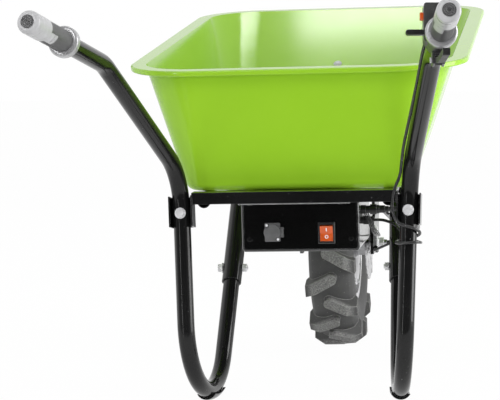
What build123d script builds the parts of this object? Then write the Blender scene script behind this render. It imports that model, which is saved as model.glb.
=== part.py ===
from build123d import *
from math import atan2, cos, degrees, pi, radians, sin, tan
import os

os.makedirs("parts", exist_ok=True)

# Electric wheelbarrow. Millimetres, +Z up, +Y forward to the wheel, ground at Z = 0.
# Lengths called ahead or behind are measured from the rear face of the rear cross bar.

# Clearances
clear = 0.3
running_fit = 0.05
snug = 0.1
weld_gap = 0.2

# Handle tubes: grip, slope, rear upright, foot bend and front upright in one bent tube
tube_od = 28.0
tube_wall = 1.5
foot_half_track = 158.5
foot_ahead = 87.0
foot_plate = 4.0
foot_flat = 2.0
foot_plate_wrap = 8.0
foot_plate_arc = 15.0
toe_in = 7.0
leg_lean = 3.35
rear_rake = 9.6
front_rise = 53.3
leg_bend = 109.0
leg_top_z = 381.0
leg_top_bend = 90.0
leg_bolt_z = 318.0
handle_half_track = 247.0
handle_bend_behind = 265.0
handle_bend_z = 572.5
handle_bend = 75.0
grip_half_track = 288.4
grip_end_behind = 552.0
grip_end_z = 640.3

# Leg brackets and sleeves
bracket_sheet = 2.5
bracket_gap = 3.0
bracket_depth = 31.0
bracket_below = 22.0
bracket_above = 28.0
sleeve_od = 34.0
sleeve_foot_z = 173.0
splice_bolt_z = 196.0
splice_depth = 82.0

# Chassis
deck_ahead = 20.0
deck_z = 346.0
bar_top_z = 353.0
deck_tilt = 6.1
bar_depth = 30.0
bar_height = 19.0
bar_wall = 2.0
middle_bar_ahead = 140.0
middle_bar_depth = 25.0
front_bar_run = 440.0
front_bar_depth = 25.0
front_bar_height = 20.0
rail_od = 22.0
rail_wall = 1.8
rail_rear_half = 152.0
rail_mid_half = 146.0
rail_mid_run = 370.0
rail_fork_run = 526.0
rail_end_run = 745.0
rail_bend = 150.0
hoop_od = 20.0
hoop_wall = 1.6
hoop_bend = 45.0

# Tray, in the tilted plane of the deck: run is forward, level is up from the deck
tray_sheet = 1.5
tray_seat = 0.2
tray_rim_level = 205.5
tray_rim_half = 281.0
tray_rim_rear = 0.8
tray_front_ahead = 881.0
tray_flange = 24.0
tray_lip = 9.2
tray_rim_corner = 115.0
tray_floor_half = 186.0
tray_floor_rear = 30.0
tray_floor_front = 522.0
tray_floor_corner = 36.0
tray_floor_bend = 14.0
tray_bolt_dia = 6.0
tray_dome = 16.0
tray_dome_height = 4.0
tray_dome_edge = 1.0
tray_bolt_rear_half = 122.0
tray_bolt_front_half = 75.0
front_bolt_level = 115.0

# Fasteners
bolt_dia = 8.0
bolt_head = 13.0
bolt_flange = 18.0
bolt_flange_height = 2.0
bolt_head_height = 7.0
nut_height = 7.0
bolt_slack = 0.25

# Wheel, fork and hub motor
axle_ahead = 662.0
wheel_radius = 195.0
tread_radius = 183.0
tyre_half = 41.5
tread_half = 34.0
shoulder_radius = 170.0
belly_radius = 142.0
flank_bulge = 0.93
brow_bulge = 0.98
tyre_wall = 6.5
tread_wall = 9.5
bead_radius = 101.6
bead_half = 30.2
bead_thick = 7.0
rim_flange_radius = 110.0
rim_flange = 2.5
rim_sheet = 4.0
rim_well_radius = 96.0
rim_well_half = 13.0
rim_web_half = 6.0
shell_radius = 81.0
shell_wall = 6.0
shell_half = 28.0
cover_thick = 5.0
cover_hub_radius = 24.0
bearing_od = 35.0
bearing_bore = 15.0
bearing_width = 11.0
air_gap = 1.0
stator_half = 15.0
stator_teeth = 18
tooth_width = 7.0
tooth_root_radius = 48.0
tooth_tip = 4.0
coil_wall = 2.6
magnet_count = 20
magnet_thick = 5.0
axle_core_radius = 10.0
axle_core_half = 18.0
axle_thread_dia = 12.0
axle_half = 92.0
axle_nut = 19.0
axle_nut_height = 10.0
axle_washer = 26.0
axle_washer_thick = 2.0
fork_half = 69.0
fork_plate = 6.0
fork_foot_radius = 20.0
fork_head_length = 150.0
lugs_a_side = 12
lug_width = 21.0
lug_slant = 30.0
lug_reach = 4.0
lug_half = 47.0
lug_edge_half = 27.0
lug_foot_rise = 14.0
lug_first_right = 4.0
lug_first_left = 19.0
tube_rubber = 2.2
valve_side = 10.0
valve_dia = 6.0
valve_bore = 2.4
valve_end_radius = 84.5

# Disc brake
disc_radius = 70.0
disc_thick = 2.0
disc_x = 57.0
disc_bolts = 5
disc_bolt_radius = 17.0
small_screw = 4.0
small_head = 7.5
small_head_height = 2.4
cover_screws = 9
caliper_angle = 28.0
caliper_reach = 60.0
caliper_length = 40.0
caliper_width = 34.0
caliper_inner_wall = 3.3
pad_thick = 4.0
pad_gap = 0.4
pad_length = 24.0
pad_width = 22.0
arm_shaft_dia = 10.0
arm_length = 30.0
arm_width = 9.0
arm_thick = 4.0
cable_stop = 10.0
cable_stop_behind = 30.0

# Battery box
box_rear_ahead = 78.5
box_half = 98.0
box_floor_z = 246.0
box_length = 180.0
box_sheet = 2.0
box_corner = 7.0
cover_depth = 12.0
cover_lip = 8.0
cover_edge = 4.0
box_tongue_gap = 4.0
roof_screw_half = 74.0
pack_width = 132.0
pack_height = 70.0
pack_length = 118.0
controller_width = 44.0
controller_height = 42.0
inner_gap = 2.0
panel_screw_half = 84.7
panel_screw_z = 267.0
socket_x = -46.0
socket_z = 279.0
socket_width = 26.0
socket_height = 31.0
socket_flange = 3.0
socket_barrel = 23.0
socket_barrel_length = 22.0
socket_mouth = 17.0
socket_mouth_depth = 15.0
cap_radius = 14.2
cap_thick = 4.0
cap_pin = 1.8
knuckle_dia = 4.4
knuckle_length = 8.0
switch_x = 44.0
switch_z = 277.0
switch_width = 28.5
switch_height = 36.3
switch_bezel = 5.0
rocker_width = 21.4
rocker_height = 25.6
rocker_tilt = 8.0
rocker_crest = 5.6
rocker_dip = 1.6
rocker_pivot_depth = 3.0
rocker_pin = 3.0
tub_wall = 1.4
tub_depth = 15.0

# Cables
control_cable_dia = 5.0
brake_cable_dia = 4.5
motor_cable_dia = 8.0
gland_dia = 14.0
gland_length = 12.0
connector_dia = 17.0
connector_length = 31.0
connector_ahead = 150.0
connector_z = 308.0
control_gland_ahead = 200.0
control_gland_z = 285.0
wrap_gap = 2.0

# Grips
grip_length = 145.0
grip_dia = 32.0
grip_collar = 46.0
grip_collar_length = 14.0
palm_start = 68.0
palm_tongue = 25.0
palm_wall = 1.2
palm_proud = 1.0
palm_turn = 140.0
palm_round = 7.0
cap_face_dia = 19.0
cap_face_depth = 5.0
tube_setback = 7.0

# Controls on the right handle
throttle_length = 9.0
throttle_ring = 39.0
paddle_reach = 49.0
paddle_thick = 7.0
paddle_lift = 1.5
housing_length = 30.0
housing_ring = 39.0
housing_half = 23.0
housing_top = 46.0
housing_round = 4.0
button_width = 9.0
button_height = 11.0
button_proud = 5.0
button_travel = 2.0
button_depth = 9.0
button_lift = 29.0
perch_length = 22.0
perch_ring = 37.0
perch_gap = 2.0
lever_pivot_drop = 28.0
lever_pivot_dia = 5.0
lever_width = 10.0
lever_boss = 7.0
lever_thick = 8.0
lever_reach = 92.0
lever_tip_drop = 46.0
lever_knee_drop = 39.5
lever_knee_reach = 8.0
perch_cheek = 4.0
adjuster_dia = 8.0
adjuster_length = 10.0


def unit(vector):
    """The same direction with a length of one."""
    return vector * (1 / vector.length)


def square_plane(origin, axis):
    """Plane across an axis, with its x as near to the part's X as it can be."""
    side = Vector(1, 0, 0) - axis * axis.X
    return Plane(origin, x_dir=unit(side), z_dir=axis)


def swept(path, start, heading, outer_dia, bore_dia=0.0):
    """Round tube, or a rod where the bore is nought, along a path."""
    with BuildPart() as tube:
        with BuildSketch(Plane(start, z_dir=heading)):
            Circle(outer_dia / 2)
            if bore_dia > 0:
                Circle(bore_dia / 2, mode=Mode.SUBTRACT)
        sweep(path=path)
    return tube.part


def rod(plane, diameter, low, high):
    """Round rod square to a plane, between two heights over it."""
    with BuildPart() as bar:
        with BuildSketch(plane.offset(low)):
            Circle(diameter / 2)
        extrude(amount=high - low)
    return bar.part


def ring(plane, outer_dia, bore_dia, low, high):
    """Round ring square to a plane, between two heights over it."""
    with BuildPart() as hoop:
        with BuildSketch(plane.offset(low)):
            Circle(outer_dia / 2)
            Circle(bore_dia / 2, mode=Mode.SUBTRACT)
        extrude(amount=high - low)
    return hoop.part


def hexagon(plane, across_flats, low, high, bore_dia=0.0):
    """Six-sided bar or nut square to a plane."""
    with BuildPart() as nut:
        with BuildSketch(plane.offset(low)):
            RegularPolygon(across_flats / 2, 6, major_radius=False)
            if bore_dia > 0:
                Circle(bore_dia / 2, mode=Mode.SUBTRACT)
        extrude(amount=high - low)
    return nut.part


def flange_bolt(seat, grip):
    """Flange-head bolt with its head over the seat plane, and its nut at the far end of the grip."""
    with BuildPart() as bolt:
        add(rod(seat, bolt_flange, 0, bolt_flange_height))
        add(hexagon(seat, bolt_head, bolt_flange_height, bolt_flange_height + bolt_head_height))
        add(rod(seat, bolt_dia, -grip - nut_height - bolt_flange_height, 0))
    nut = hexagon(seat, bolt_head, -grip - nut_height, -grip, bolt_dia + 2 * running_fit)
    return [bolt.part, nut]


def dome_bolt(seat, grip):
    """Dome-head bolt with its head on the seat plane, and its nut at the far end of the grip."""
    crown = tray_dome_height - tray_dome_edge
    dome_radius = (crown ** 2 + (tray_dome / 2) ** 2) / (2 * crown)
    with BuildPart() as bolt:
        with BuildSketch(Plane(seat.origin, x_dir=seat.x_dir, z_dir=seat.y_dir)):
            with BuildLine():
                Polyline((0, -tray_dome_height), (0, 0), (tray_dome / 2, 0), (tray_dome / 2, -tray_dome_edge))
                RadiusArc((tray_dome / 2, -tray_dome_edge), (0, -tray_dome_height), dome_radius)
            make_face()
        revolve(axis=Axis(seat.origin, seat.z_dir))
        add(rod(seat, tray_bolt_dia, -grip - nut_height, tray_dome_height / 2))
    nut_bore = tray_bolt_dia + 2 * running_fit
    nut = hexagon(seat, bolt_head - bolt_slack, -grip - nut_height + 1, -grip, nut_bore)
    return [bolt.part, nut]


def pan_screw(seat, length):
    """Small pan-head screw with its head on the seat plane."""
    with BuildPart() as screw:
        add(rod(seat, small_head, 0, small_head_height))
        fillet(screw.faces().sort_by(Axis(seat.origin, seat.z_dir))[-1].edges(), small_head_height / 3)
        with BuildSketch(seat.offset(small_head_height)):
            Rectangle(small_head * 0.6, small_head * 0.14)
            Rectangle(small_head * 0.14, small_head * 0.6)
        extrude(amount=-small_head_height / 2, mode=Mode.SUBTRACT)
        add(rod(seat, small_screw, -length, 0))
    return screw.part


def mirrored(solid):
    """The same piece on the left side."""
    with BuildPart() as twin:
        mirror(solid, about=Plane.YZ)
    return twin.part


def write(solid, name):
    """Label a piece and write it."""
    solid.label = name
    export_step(solid, f"parts/{name}.step")


# Places that the whole barrow is built on
deck_rise = radians(deck_tilt)
tray_front_run = (tray_front_ahead - deck_ahead + tray_rim_level * sin(deck_rise)) / cos(deck_rise)
leg_y = (grip_end_behind - tray_front_ahead) / 2
axle_y = leg_y + axle_ahead
axle_z = wheel_radius
axle_line = Axis((0, axle_y, axle_z), (1, 0, 0))
wheel_plane = Plane((0, axle_y, axle_z), x_dir=(1, 0, 0), z_dir=(0, -1, 0))
deck = Plane((0, leg_y + deck_ahead, deck_z), x_dir=(1, 0, 0), z_dir=(0, -sin(deck_rise), cos(deck_rise)))

# Right leg plane: x forward along the foot, y up the leg
toe = radians(toe_in)
lean = radians(leg_lean)
rake = radians(rear_rake)
rise = radians(front_rise)
foot_spot = Vector(foot_half_track, leg_y + foot_ahead, tube_od / 2 + foot_plate - foot_flat)
foot_forward = Vector(-sin(toe), cos(toe), 0)
leg_upward = Vector(cos(toe) * sin(lean), sin(toe) * sin(lean), cos(lean))
leg_plane = Plane(foot_spot, x_dir=foot_forward, z_dir=foot_forward.cross(leg_upward))


def leg_spot(forward, up):
    """A spot of the right leg's plane in the part's frame."""
    return leg_plane.from_local_coords(Vector(forward, up, 0))


heel = leg_spot(-leg_bend * cos(rake), leg_bend * (1 + sin(rake)))
toe_spot = leg_spot(leg_bend * sin(rise), leg_bend * (1 - cos(rise)))
rear_up = unit(leg_spot(sin(rake), cos(rake)) - foot_spot)
front_up = unit(leg_spot(cos(rise), sin(rise)) - foot_spot)
leg_top = heel + rear_up * ((leg_top_z - heel.Z) / rear_up.Z)
bolt_spot = heel + rear_up * ((leg_bolt_z - heel.Z) / rear_up.Z)
splice_spot = toe_spot + front_up * ((splice_bolt_z - toe_spot.Z) / front_up.Z)
sleeve_foot = toe_spot + front_up * ((sleeve_foot_z - toe_spot.Z) / front_up.Z)
front_end = sleeve_foot + front_up * splice_depth
handle_corner = Vector(handle_half_track, leg_y - handle_bend_behind, handle_bend_z)
grip_end = Vector(grip_half_track, leg_y - grip_end_behind, grip_end_z)
grip_axis = unit(grip_end - handle_corner)
slope_axis = unit(handle_corner - leg_top)
tube_end = grip_end - grip_axis * tube_setback
grip_plane = square_plane(grip_end - grip_axis * grip_length, grip_axis)
slope_plane = square_plane(leg_top, slope_axis)
bracket_plane = square_plane(bolt_spot, rear_up)
leg_bolt_plane = Plane(bolt_spot, x_dir=bracket_plane.x_dir, z_dir=-bracket_plane.y_dir)
splice_plane = Plane(splice_spot, x_dir=(0, 1, 0), z_dir=(1, 0, 0))

# Handle tubes
with BuildLine() as handle_path:
    FilletPolyline(tube_end, handle_corner, leg_top, heel, radius=[handle_bend, leg_top_bend])
    ThreePointArc(heel, foot_spot, toe_spot)
    Line(toe_spot, front_end)

handle_sweep = swept(handle_path.wire(), tube_end, -grip_axis, tube_od, tube_od - 2 * tube_wall)
bolt_hole = bolt_dia + 2 * bolt_slack

with BuildPart() as right_handle_tube:
    add(handle_sweep)
    add(rod(leg_bolt_plane, bolt_hole, -tube_od, tube_od), mode=Mode.SUBTRACT)
    add(rod(splice_plane, bolt_hole, -tube_od, tube_od), mode=Mode.SUBTRACT)

write(right_handle_tube.part, "right_handle_tube")
write(mirrored(right_handle_tube.part), "left_handle_tube")

# Foot plates: a saddle of plate wrapped round the underside of each foot, worn flat where it stands
saddle_arc = radians(foot_plate_arc)
saddle_start = Plane(
    leg_spot(-leg_bend * sin(saddle_arc), leg_bend * (1 - cos(saddle_arc))),
    x_dir=leg_plane.z_dir,
    z_dir=leg_plane.x_dir * cos(saddle_arc) - leg_plane.y_dir * sin(saddle_arc),
)
saddle_radius = tube_od / 2 + foot_plate
with BuildPart() as right_foot_plate:
    with BuildSketch(saddle_start):
        Circle(saddle_radius)
        Circle(tube_od / 2 + weld_gap, mode=Mode.SUBTRACT)
        with Locations((0, foot_plate_wrap + saddle_radius)):
            Rectangle(4 * saddle_radius, 2 * saddle_radius, mode=Mode.INTERSECT)
    revolve(axis=Axis(leg_spot(0, leg_bend), leg_plane.z_dir), revolution_arc=2 * foot_plate_arc)
    split(bisect_by=Plane.XY, keep=Keep.TOP)

write(right_foot_plate.part, "right_foot_plate")
write(mirrored(right_foot_plate.part), "left_foot_plate")

# Leg brackets: a channel round each rear upright, with its web in front
channel_half = tube_od / 2 + bracket_gap + bracket_sheet
channel_front = tube_od / 2 + clear + bracket_sheet
with BuildPart() as right_leg_bracket:
    with BuildSketch(bracket_plane.offset(-bracket_below)):
        with Locations((0, channel_front - bracket_depth / 2)):
            Rectangle(2 * channel_half, bracket_depth)
        with Locations((0, channel_front - bracket_depth / 2 - bracket_sheet)):
            Rectangle(2 * (channel_half - bracket_sheet), bracket_depth, mode=Mode.SUBTRACT)
    extrude(amount=bracket_below + bracket_above)
    add(rod(leg_bolt_plane, bolt_hole, -bracket_depth, 0), mode=Mode.SUBTRACT)

write(right_leg_bracket.part, "right_leg_bracket")
write(mirrored(right_leg_bracket.part), "left_leg_bracket")

with BuildPart() as bracket_room:
    with BuildSketch(bracket_plane.offset(-2 * bracket_below)):
        with Locations((0, channel_front + weld_gap - bracket_depth)):
            Rectangle(2 * (channel_half + weld_gap), 2 * bracket_depth)
    extrude(amount=2 * (bracket_below + bracket_above))

# Chassis rails: bent tubes under the tray, from the rear cross bar to the fork
rail_plane = deck.offset(-rail_od / 2)
rail_fork_half = fork_half + fork_plate / 2
bar_front_run = (bar_depth - deck_ahead) / cos(deck_rise)
rail_points = [
    (rail_rear_half, bar_front_run - bar_depth / 2),
    (rail_mid_half, rail_mid_run),
    (rail_fork_half, rail_fork_run),
    (rail_fork_half, rail_end_run),
]
rail_route = [rail_plane.from_local_coords(Vector(half, run, 0)) for half, run in rail_points]
rail_heading = unit(rail_route[1] - rail_route[0])
with BuildLine() as rail_path:
    FilletPolyline(*rail_route, radius=rail_bend)

rail_sweep = swept(rail_path.wire(), rail_route[0], rail_heading, rail_od, rail_od - 2 * rail_wall)
rail_room = swept(rail_path.wire(), rail_route[0], rail_heading, rail_od + 2 * weld_gap)
rails_room = [rail_room, mirrored(rail_room)]

with BuildPart() as bar_room:
    with BuildSketch(Plane.YZ.offset(-tray_rim_half)):
        with Locations((leg_y + bar_depth / 2 + weld_gap - bar_depth / 2, deck_z)):
            Rectangle(2 * bar_depth, 4 * bar_height)
    extrude(amount=2 * tray_rim_half)

with BuildPart() as right_rail:
    add(rail_sweep)
    add(bar_room.part, mode=Mode.SUBTRACT)

write(right_rail.part, "right_rail")
write(mirrored(right_rail.part), "left_rail")

# Leg sleeves: short tubes that hang from the rails and take the front uprights
sleeve_bore = tube_od + 2 * clear
sleeve_plane = Plane(sleeve_foot, z_dir=front_up)
sleeve_rise = (rail_route[1].Z - sleeve_foot.Z) / front_up.Z
with BuildPart() as right_leg_sleeve:
    add(ring(sleeve_plane, sleeve_od, sleeve_bore, 0, sleeve_rise))
    add(rail_room, mode=Mode.SUBTRACT)
    add(rod(splice_plane, bolt_hole, -sleeve_od, sleeve_od), mode=Mode.SUBTRACT)

write(right_leg_sleeve.part, "right_leg_sleeve")
write(mirrored(right_leg_sleeve.part), "left_leg_sleeve")


def rail_half_at(run):
    """Distance of the rail's middle line from the barrow's middle at a run along the deck."""
    near, far = rail_points[0:2] if run < rail_mid_run else rail_points[1:3]
    return near[0] + (far[0] - near[0]) * (run - near[1]) / (far[1] - near[1])


# Cross bars
bar_floor_z = bar_top_z - bar_height
middle_bar_top = deck_z + (middle_bar_ahead - deck_ahead) * tan(deck_rise) - weld_gap
middle_bar_height = middle_bar_top - bar_floor_z
middle_bar_y = leg_y + middle_bar_ahead + middle_bar_depth / 2
middle_bar_run = (middle_bar_ahead + middle_bar_depth / 2 - deck_ahead) / cos(deck_rise)
roof_screw_planes = [
    Plane((side * roof_screw_half, leg_y + ahead, bar_floor_z - box_sheet), x_dir=(1, 0, 0), z_dir=(0, 0, -1))
    for side in (-1, 1)
    for ahead in (bar_depth / 2, middle_bar_ahead + middle_bar_depth / 2)
]
screw_hole = small_screw + 2 * snug
roof_holes = [rod(plane, screw_hole, -box_sheet - bar_wall, 0) for plane in roof_screw_planes]
middle_bar_half = rail_half_at(middle_bar_run)
front_bar_half = rail_half_at(front_bar_run + front_bar_depth / 2)
tray_hole = tray_bolt_dia + 2 * bolt_slack
rear_tray_seats = [Plane(deck.from_local_coords(Vector(side * tray_bolt_rear_half, middle_bar_run, 0)),
                         x_dir=deck.x_dir, z_dir=deck.z_dir) for side in (-1, 1)]
front_tray_seats = [Plane(deck.from_local_coords(Vector(side * tray_bolt_front_half, front_bar_run, 0)),
                          x_dir=deck.x_dir, z_dir=deck.z_dir) for side in (-1, 1)]
bar_end_half = bolt_spot.X
with BuildPart() as rear_cross_bar:
    with BuildSketch(Plane.YZ.offset(-bar_end_half)):
        with Locations((leg_y + bar_depth / 2, bar_top_z - bar_height / 2)):
            Rectangle(bar_depth, bar_height)
            Rectangle(bar_depth - 2 * bar_wall, bar_height - 2 * bar_wall, mode=Mode.SUBTRACT)
    extrude(amount=2 * bar_end_half)
    add([bracket_room.part, mirrored(bracket_room.part)], mode=Mode.SUBTRACT)
    add(roof_holes, mode=Mode.SUBTRACT)

write(rear_cross_bar.part, "rear_cross_bar")

with BuildPart() as middle_cross_bar:
    with BuildSketch(Plane.YZ.offset(-middle_bar_half)):
        with Locations((middle_bar_y, middle_bar_top - middle_bar_height / 2)):
            Rectangle(middle_bar_depth, middle_bar_height)
            Rectangle(middle_bar_depth - 2 * bar_wall, middle_bar_height - 2 * bar_wall, mode=Mode.SUBTRACT)
    extrude(amount=2 * middle_bar_half)
    add(rails_room, mode=Mode.SUBTRACT)
    add([rod(seat, tray_hole, -2 * middle_bar_height, middle_bar_height) for seat in rear_tray_seats],
        mode=Mode.SUBTRACT)
    add(roof_holes, mode=Mode.SUBTRACT)

write(middle_cross_bar.part, "middle_cross_bar")

with BuildPart() as front_cross_bar:
    with BuildSketch(Plane(deck.origin, x_dir=deck.y_dir, z_dir=deck.x_dir).offset(-front_bar_half)):
        with Locations((front_bar_run, -front_bar_height / 2 - weld_gap)):
            Rectangle(front_bar_depth, front_bar_height)
            Rectangle(front_bar_depth - 2 * bar_wall, front_bar_height - 2 * bar_wall, mode=Mode.SUBTRACT)
    extrude(amount=2 * front_bar_half)
    add(rails_room, mode=Mode.SUBTRACT)
    add([rod(seat, tray_hole, -2 * front_bar_height, front_bar_height) for seat in front_tray_seats],
        mode=Mode.SUBTRACT)

write(front_cross_bar.part, "front_cross_bar")

# Tray: a pressed pan, with straight walls between its floor and its flange
wall_top_half = tray_rim_half - tray_flange
wall_top_rear = tray_rim_rear + tray_flange
wall_top_front = tray_front_run - tray_flange
wall_height = tray_rim_level - tray_seat
front_wall_out = unit(Vector(wall_height, tray_floor_front - wall_top_front, 0))
side_inset = tray_sheet * Vector(wall_height, wall_top_half - tray_floor_half, 0).length / wall_height
front_inset = tray_sheet / front_wall_out.X


def pan_section(level, sheet_share):
    """Outline of the pan at a level, on its outside for a share of nought and on its inside for one."""
    share = (level - tray_seat) / wall_height
    half = tray_floor_half + share * (wall_top_half - tray_floor_half) - sheet_share * side_inset
    rear = tray_floor_rear + share * (wall_top_rear - tray_floor_rear) + sheet_share * tray_sheet
    front = tray_floor_front + share * (wall_top_front - tray_floor_front) - sheet_share * front_inset
    corner = tray_floor_corner + share * (tray_rim_corner - tray_flange - tray_floor_corner)
    with BuildSketch(deck.offset(level)) as section:
        with Locations((0, (rear + front) / 2)):
            RectangleRounded(2 * half, front - rear, corner - sheet_share * tray_sheet)
    return section.sketch


def pan(low, high, sheet_share, bend):
    """Solid block of the pan's outside or inside, with its floor edge rounded."""
    sections = [pan_section(low, sheet_share), pan_section(high, sheet_share)]
    with BuildPart() as block:
        loft(sections=sections, ruled=True)
        fillet(block.faces().sort_by(Axis(deck.origin, deck.z_dir))[0].edges(), bend)
    return block.part


def rim_band(inset, width, low, high):
    """Band round the rim, set in from its edge."""
    with BuildPart() as band:
        with BuildSketch(deck.offset(low)):
            with Locations((0, (tray_rim_rear + tray_front_run) / 2)):
                RectangleRounded(
                    2 * (tray_rim_half - inset),
                    tray_front_run - tray_rim_rear - 2 * inset,
                    tray_rim_corner - inset,
                )
                RectangleRounded(
                    2 * (tray_rim_half - inset - width),
                    tray_front_run - tray_rim_rear - 2 * (inset + width),
                    tray_rim_corner - inset - width,
                    mode=Mode.SUBTRACT,
                )
        extrude(amount=high - low)
    return band.part


front_wall_share = (front_bolt_level - tray_seat) / wall_height
front_bolt_run = tray_floor_front + front_wall_share * (wall_top_front - tray_floor_front)
front_bolt_spot = deck.from_local_coords(Vector(0, front_bolt_run, front_bolt_level))
wall_outward = deck.y_dir * front_wall_out.X + deck.z_dir * front_wall_out.Y
front_seat = Plane(front_bolt_spot - wall_outward * tray_sheet, x_dir=(1, 0, 0), z_dir=-wall_outward)
floor_top = tray_seat + tray_sheet
floor_seats = rear_tray_seats + front_tray_seats
tray_holes = [rod(seat, tray_hole, -tray_sheet, 2 * tray_sheet + tray_seat) for seat in floor_seats]
front_hole = rod(front_seat, tray_hole, -2 * hoop_od, 2 * tray_sheet)
lip_width = tray_flange * 0.3
pan_outside = pan(tray_seat, tray_rim_level, 0, tray_floor_bend)
pan_inside = pan(floor_top, tray_rim_level + tray_lip, 1, tray_floor_bend - tray_sheet)
rim_lip = rim_band(0, lip_width, tray_rim_level - tray_lip, tray_rim_level)
rim_sheet_band = rim_band(lip_width / 2, 2 * tray_flange, tray_rim_level - tray_sheet, tray_rim_level)

with BuildPart() as lip_block:
    add(rim_lip)
    outer_walls = lip_block.faces().filter_by(lambda face: abs(face.normal_at().dot(deck.z_dir)) > 0.9)
    fillet(outer_walls.edges(), tray_lip * 0.28)

with BuildPart() as tray:
    add(pan_outside)
    add(rim_sheet_band)
    add(pan_inside, mode=Mode.SUBTRACT)
    add(lip_block.part)
    add(tray_holes, mode=Mode.SUBTRACT)
    add(front_hole, mode=Mode.SUBTRACT)

write(tray.part, "tray")

# Front hoop: an arch on the rails that carries the tray's front wall
hoop_stand = hoop_od / 2 + weld_gap
hoop_run = front_bolt_run + front_wall_out.X * hoop_stand
hoop_crown = front_bolt_level + front_wall_out.Y * hoop_stand
hoop_plane = Plane(deck.from_local_coords(Vector(0, hoop_run, 0)), x_dir=deck.x_dir, z_dir=-deck.y_dir)
hoop_corners = [
    (rail_fork_half, -rail_od / 2),
    (rail_fork_half, hoop_crown),
    (-rail_fork_half, hoop_crown),
    (-rail_fork_half, -rail_od / 2),
]
hoop_route = [hoop_plane.from_local_coords(Vector(half, level, 0)) for half, level in hoop_corners]
with BuildLine() as hoop_path:
    FilletPolyline(*hoop_route, radius=hoop_bend)

hoop_sweep = swept(hoop_path.wire(), hoop_route[0], deck.z_dir, hoop_od, hoop_od - 2 * hoop_wall)
with BuildPart() as front_hoop:
    add(hoop_sweep)
    add(rails_room, mode=Mode.SUBTRACT)
    add(front_hole, mode=Mode.SUBTRACT)

write(front_hoop.part, "front_hoop")

# Tray bolts: dome heads inside the tray, nuts under the cross bars and the hoop
seat_z = rear_tray_seats[0].origin.Z
middle_bar_grip = (seat_z - bar_floor_z) / cos(deck_rise) + bolt_head / 2 * tan(deck_rise) + snug
tray_bolt_pieces = []
for seat in rear_tray_seats:
    tray_bolt_pieces += dome_bolt(seat.offset(floor_top), floor_top + middle_bar_grip)
for seat in front_tray_seats:
    tray_bolt_pieces += dome_bolt(seat.offset(floor_top), floor_top + weld_gap + front_bar_height)
tray_bolt_pieces += dome_bolt(front_seat, tray_sheet + weld_gap + hoop_od)
with BuildPart() as tray_bolts:
    add(tray_bolt_pieces)

write(tray_bolts.part, "tray_bolts")


# Wheel and fork
def across(x):
    """Plane square to the axle at a distance from the middle of the wheel: x forward, y up."""
    return Plane((x, axle_y, axle_z), x_dir=(0, 1, 0), z_dir=(1, 0, 0))


def turned(profile):
    """Solid turned round the axle from points given as distance along the axle and radius."""
    with BuildPart() as body:
        with BuildSketch(wheel_plane):
            with BuildLine():
                Polyline(*profile, close=True)
            make_face()
        revolve(axis=axle_line)
    return body.part


def round_the_axle(plane_x, radius, count, turn=0.0):
    """Planes spaced evenly round the axle, facing away from the middle of the wheel."""
    outward = 1 if plane_x > 0 else -1
    planes = []
    for step in range(count):
        angle = radians(turn + 360 / count * step)
        spot = across(plane_x).from_local_coords(Vector(radius * cos(angle), radius * sin(angle), 0))
        planes.append(Plane(spot, x_dir=(0, 1, 0), z_dir=(outward, 0, 0)))
    return planes


caliper_turn = radians(caliper_angle)
caliper_y = -caliper_reach * cos(caliper_turn)
caliper_z = caliper_reach * sin(caliper_turn)
caliper_out = Vector(-cos(caliper_turn), sin(caliper_turn), 0)
caliper_bolt_reach = caliper_length * 0.36
caliper_bolt_spots = [
    (caliper_y + reach * caliper_out.X, caliper_z + reach * caliper_out.Y)
    for reach in (-caliper_bolt_reach, caliper_bolt_reach)
]
fork_outer = fork_half + fork_plate
arm_x = fork_outer + clear + arm_thick / 2
arm_end_z = caliper_z - arm_length
stop_y = caliper_y - cable_stop_behind
axle_slot = axle_thread_dia + 2 * snug


def rail_over_axle(forward):
    """Height of the rail's middle line over the axle."""
    level = deck_z + (axle_ahead + forward - deck_ahead) * tan(deck_rise)
    return level - rail_od / 2 / cos(deck_rise) - axle_z


head_half = fork_head_length / 2
head_depth = rail_od * 1.5
with BuildPart() as left_fork_blank:
    with BuildSketch(across(fork_half)):
        with BuildLine():
            Polyline(
                (-head_half, rail_over_axle(-head_half)),
                (head_half, rail_over_axle(head_half)),
                (head_half, rail_over_axle(head_half) - head_depth),
                (fork_foot_radius, 0),
                (-fork_foot_radius, 0),
                (-head_half, rail_over_axle(-head_half) - head_depth),
                close=True,
            )
        make_face()
        Circle(fork_foot_radius)
        Circle(axle_slot / 2, mode=Mode.SUBTRACT)
        with Locations((0, -fork_foot_radius)):
            Rectangle(axle_slot, 2 * fork_foot_radius, mode=Mode.SUBTRACT)
    extrude(amount=fork_plate)
    add(rails_room, mode=Mode.SUBTRACT)

write(mirrored(left_fork_blank.part), "left_fork_plate")

with BuildPart() as right_fork_plate:
    add(left_fork_blank.part)
    with BuildSketch(across(fork_half)):
        with BuildLine():
            Polyline(
                (-axle_slot, arm_end_z - cable_stop),
                (stop_y - cable_stop, arm_end_z - cable_stop),
                (stop_y - cable_stop, arm_end_z + cable_stop),
                (caliper_y - caliper_width / 2, caliper_z + caliper_length / 2),
                (-axle_slot, caliper_z + caliper_length),
                close=True,
            )
        make_face()
        Circle(axle_thread_dia + snug, mode=Mode.SUBTRACT)
    extrude(amount=fork_plate)
    with BuildSketch(across(fork_outer)):
        with Locations((stop_y - cable_stop / 2, arm_end_z)):
            RectangleRounded(cable_stop, cable_stop, cable_stop / 5)
    extrude(amount=arm_x - fork_outer + cable_stop / 2)
    with BuildSketch(across(fork_half)):
        with Locations((caliper_y, caliper_z)):
            Circle(arm_shaft_dia / 2 + clear)
        with Locations(*caliper_bolt_spots):
            Circle(tray_hole / 2)
    extrude(amount=fork_plate, mode=Mode.SUBTRACT)
    add(rails_room, mode=Mode.SUBTRACT)

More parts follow.
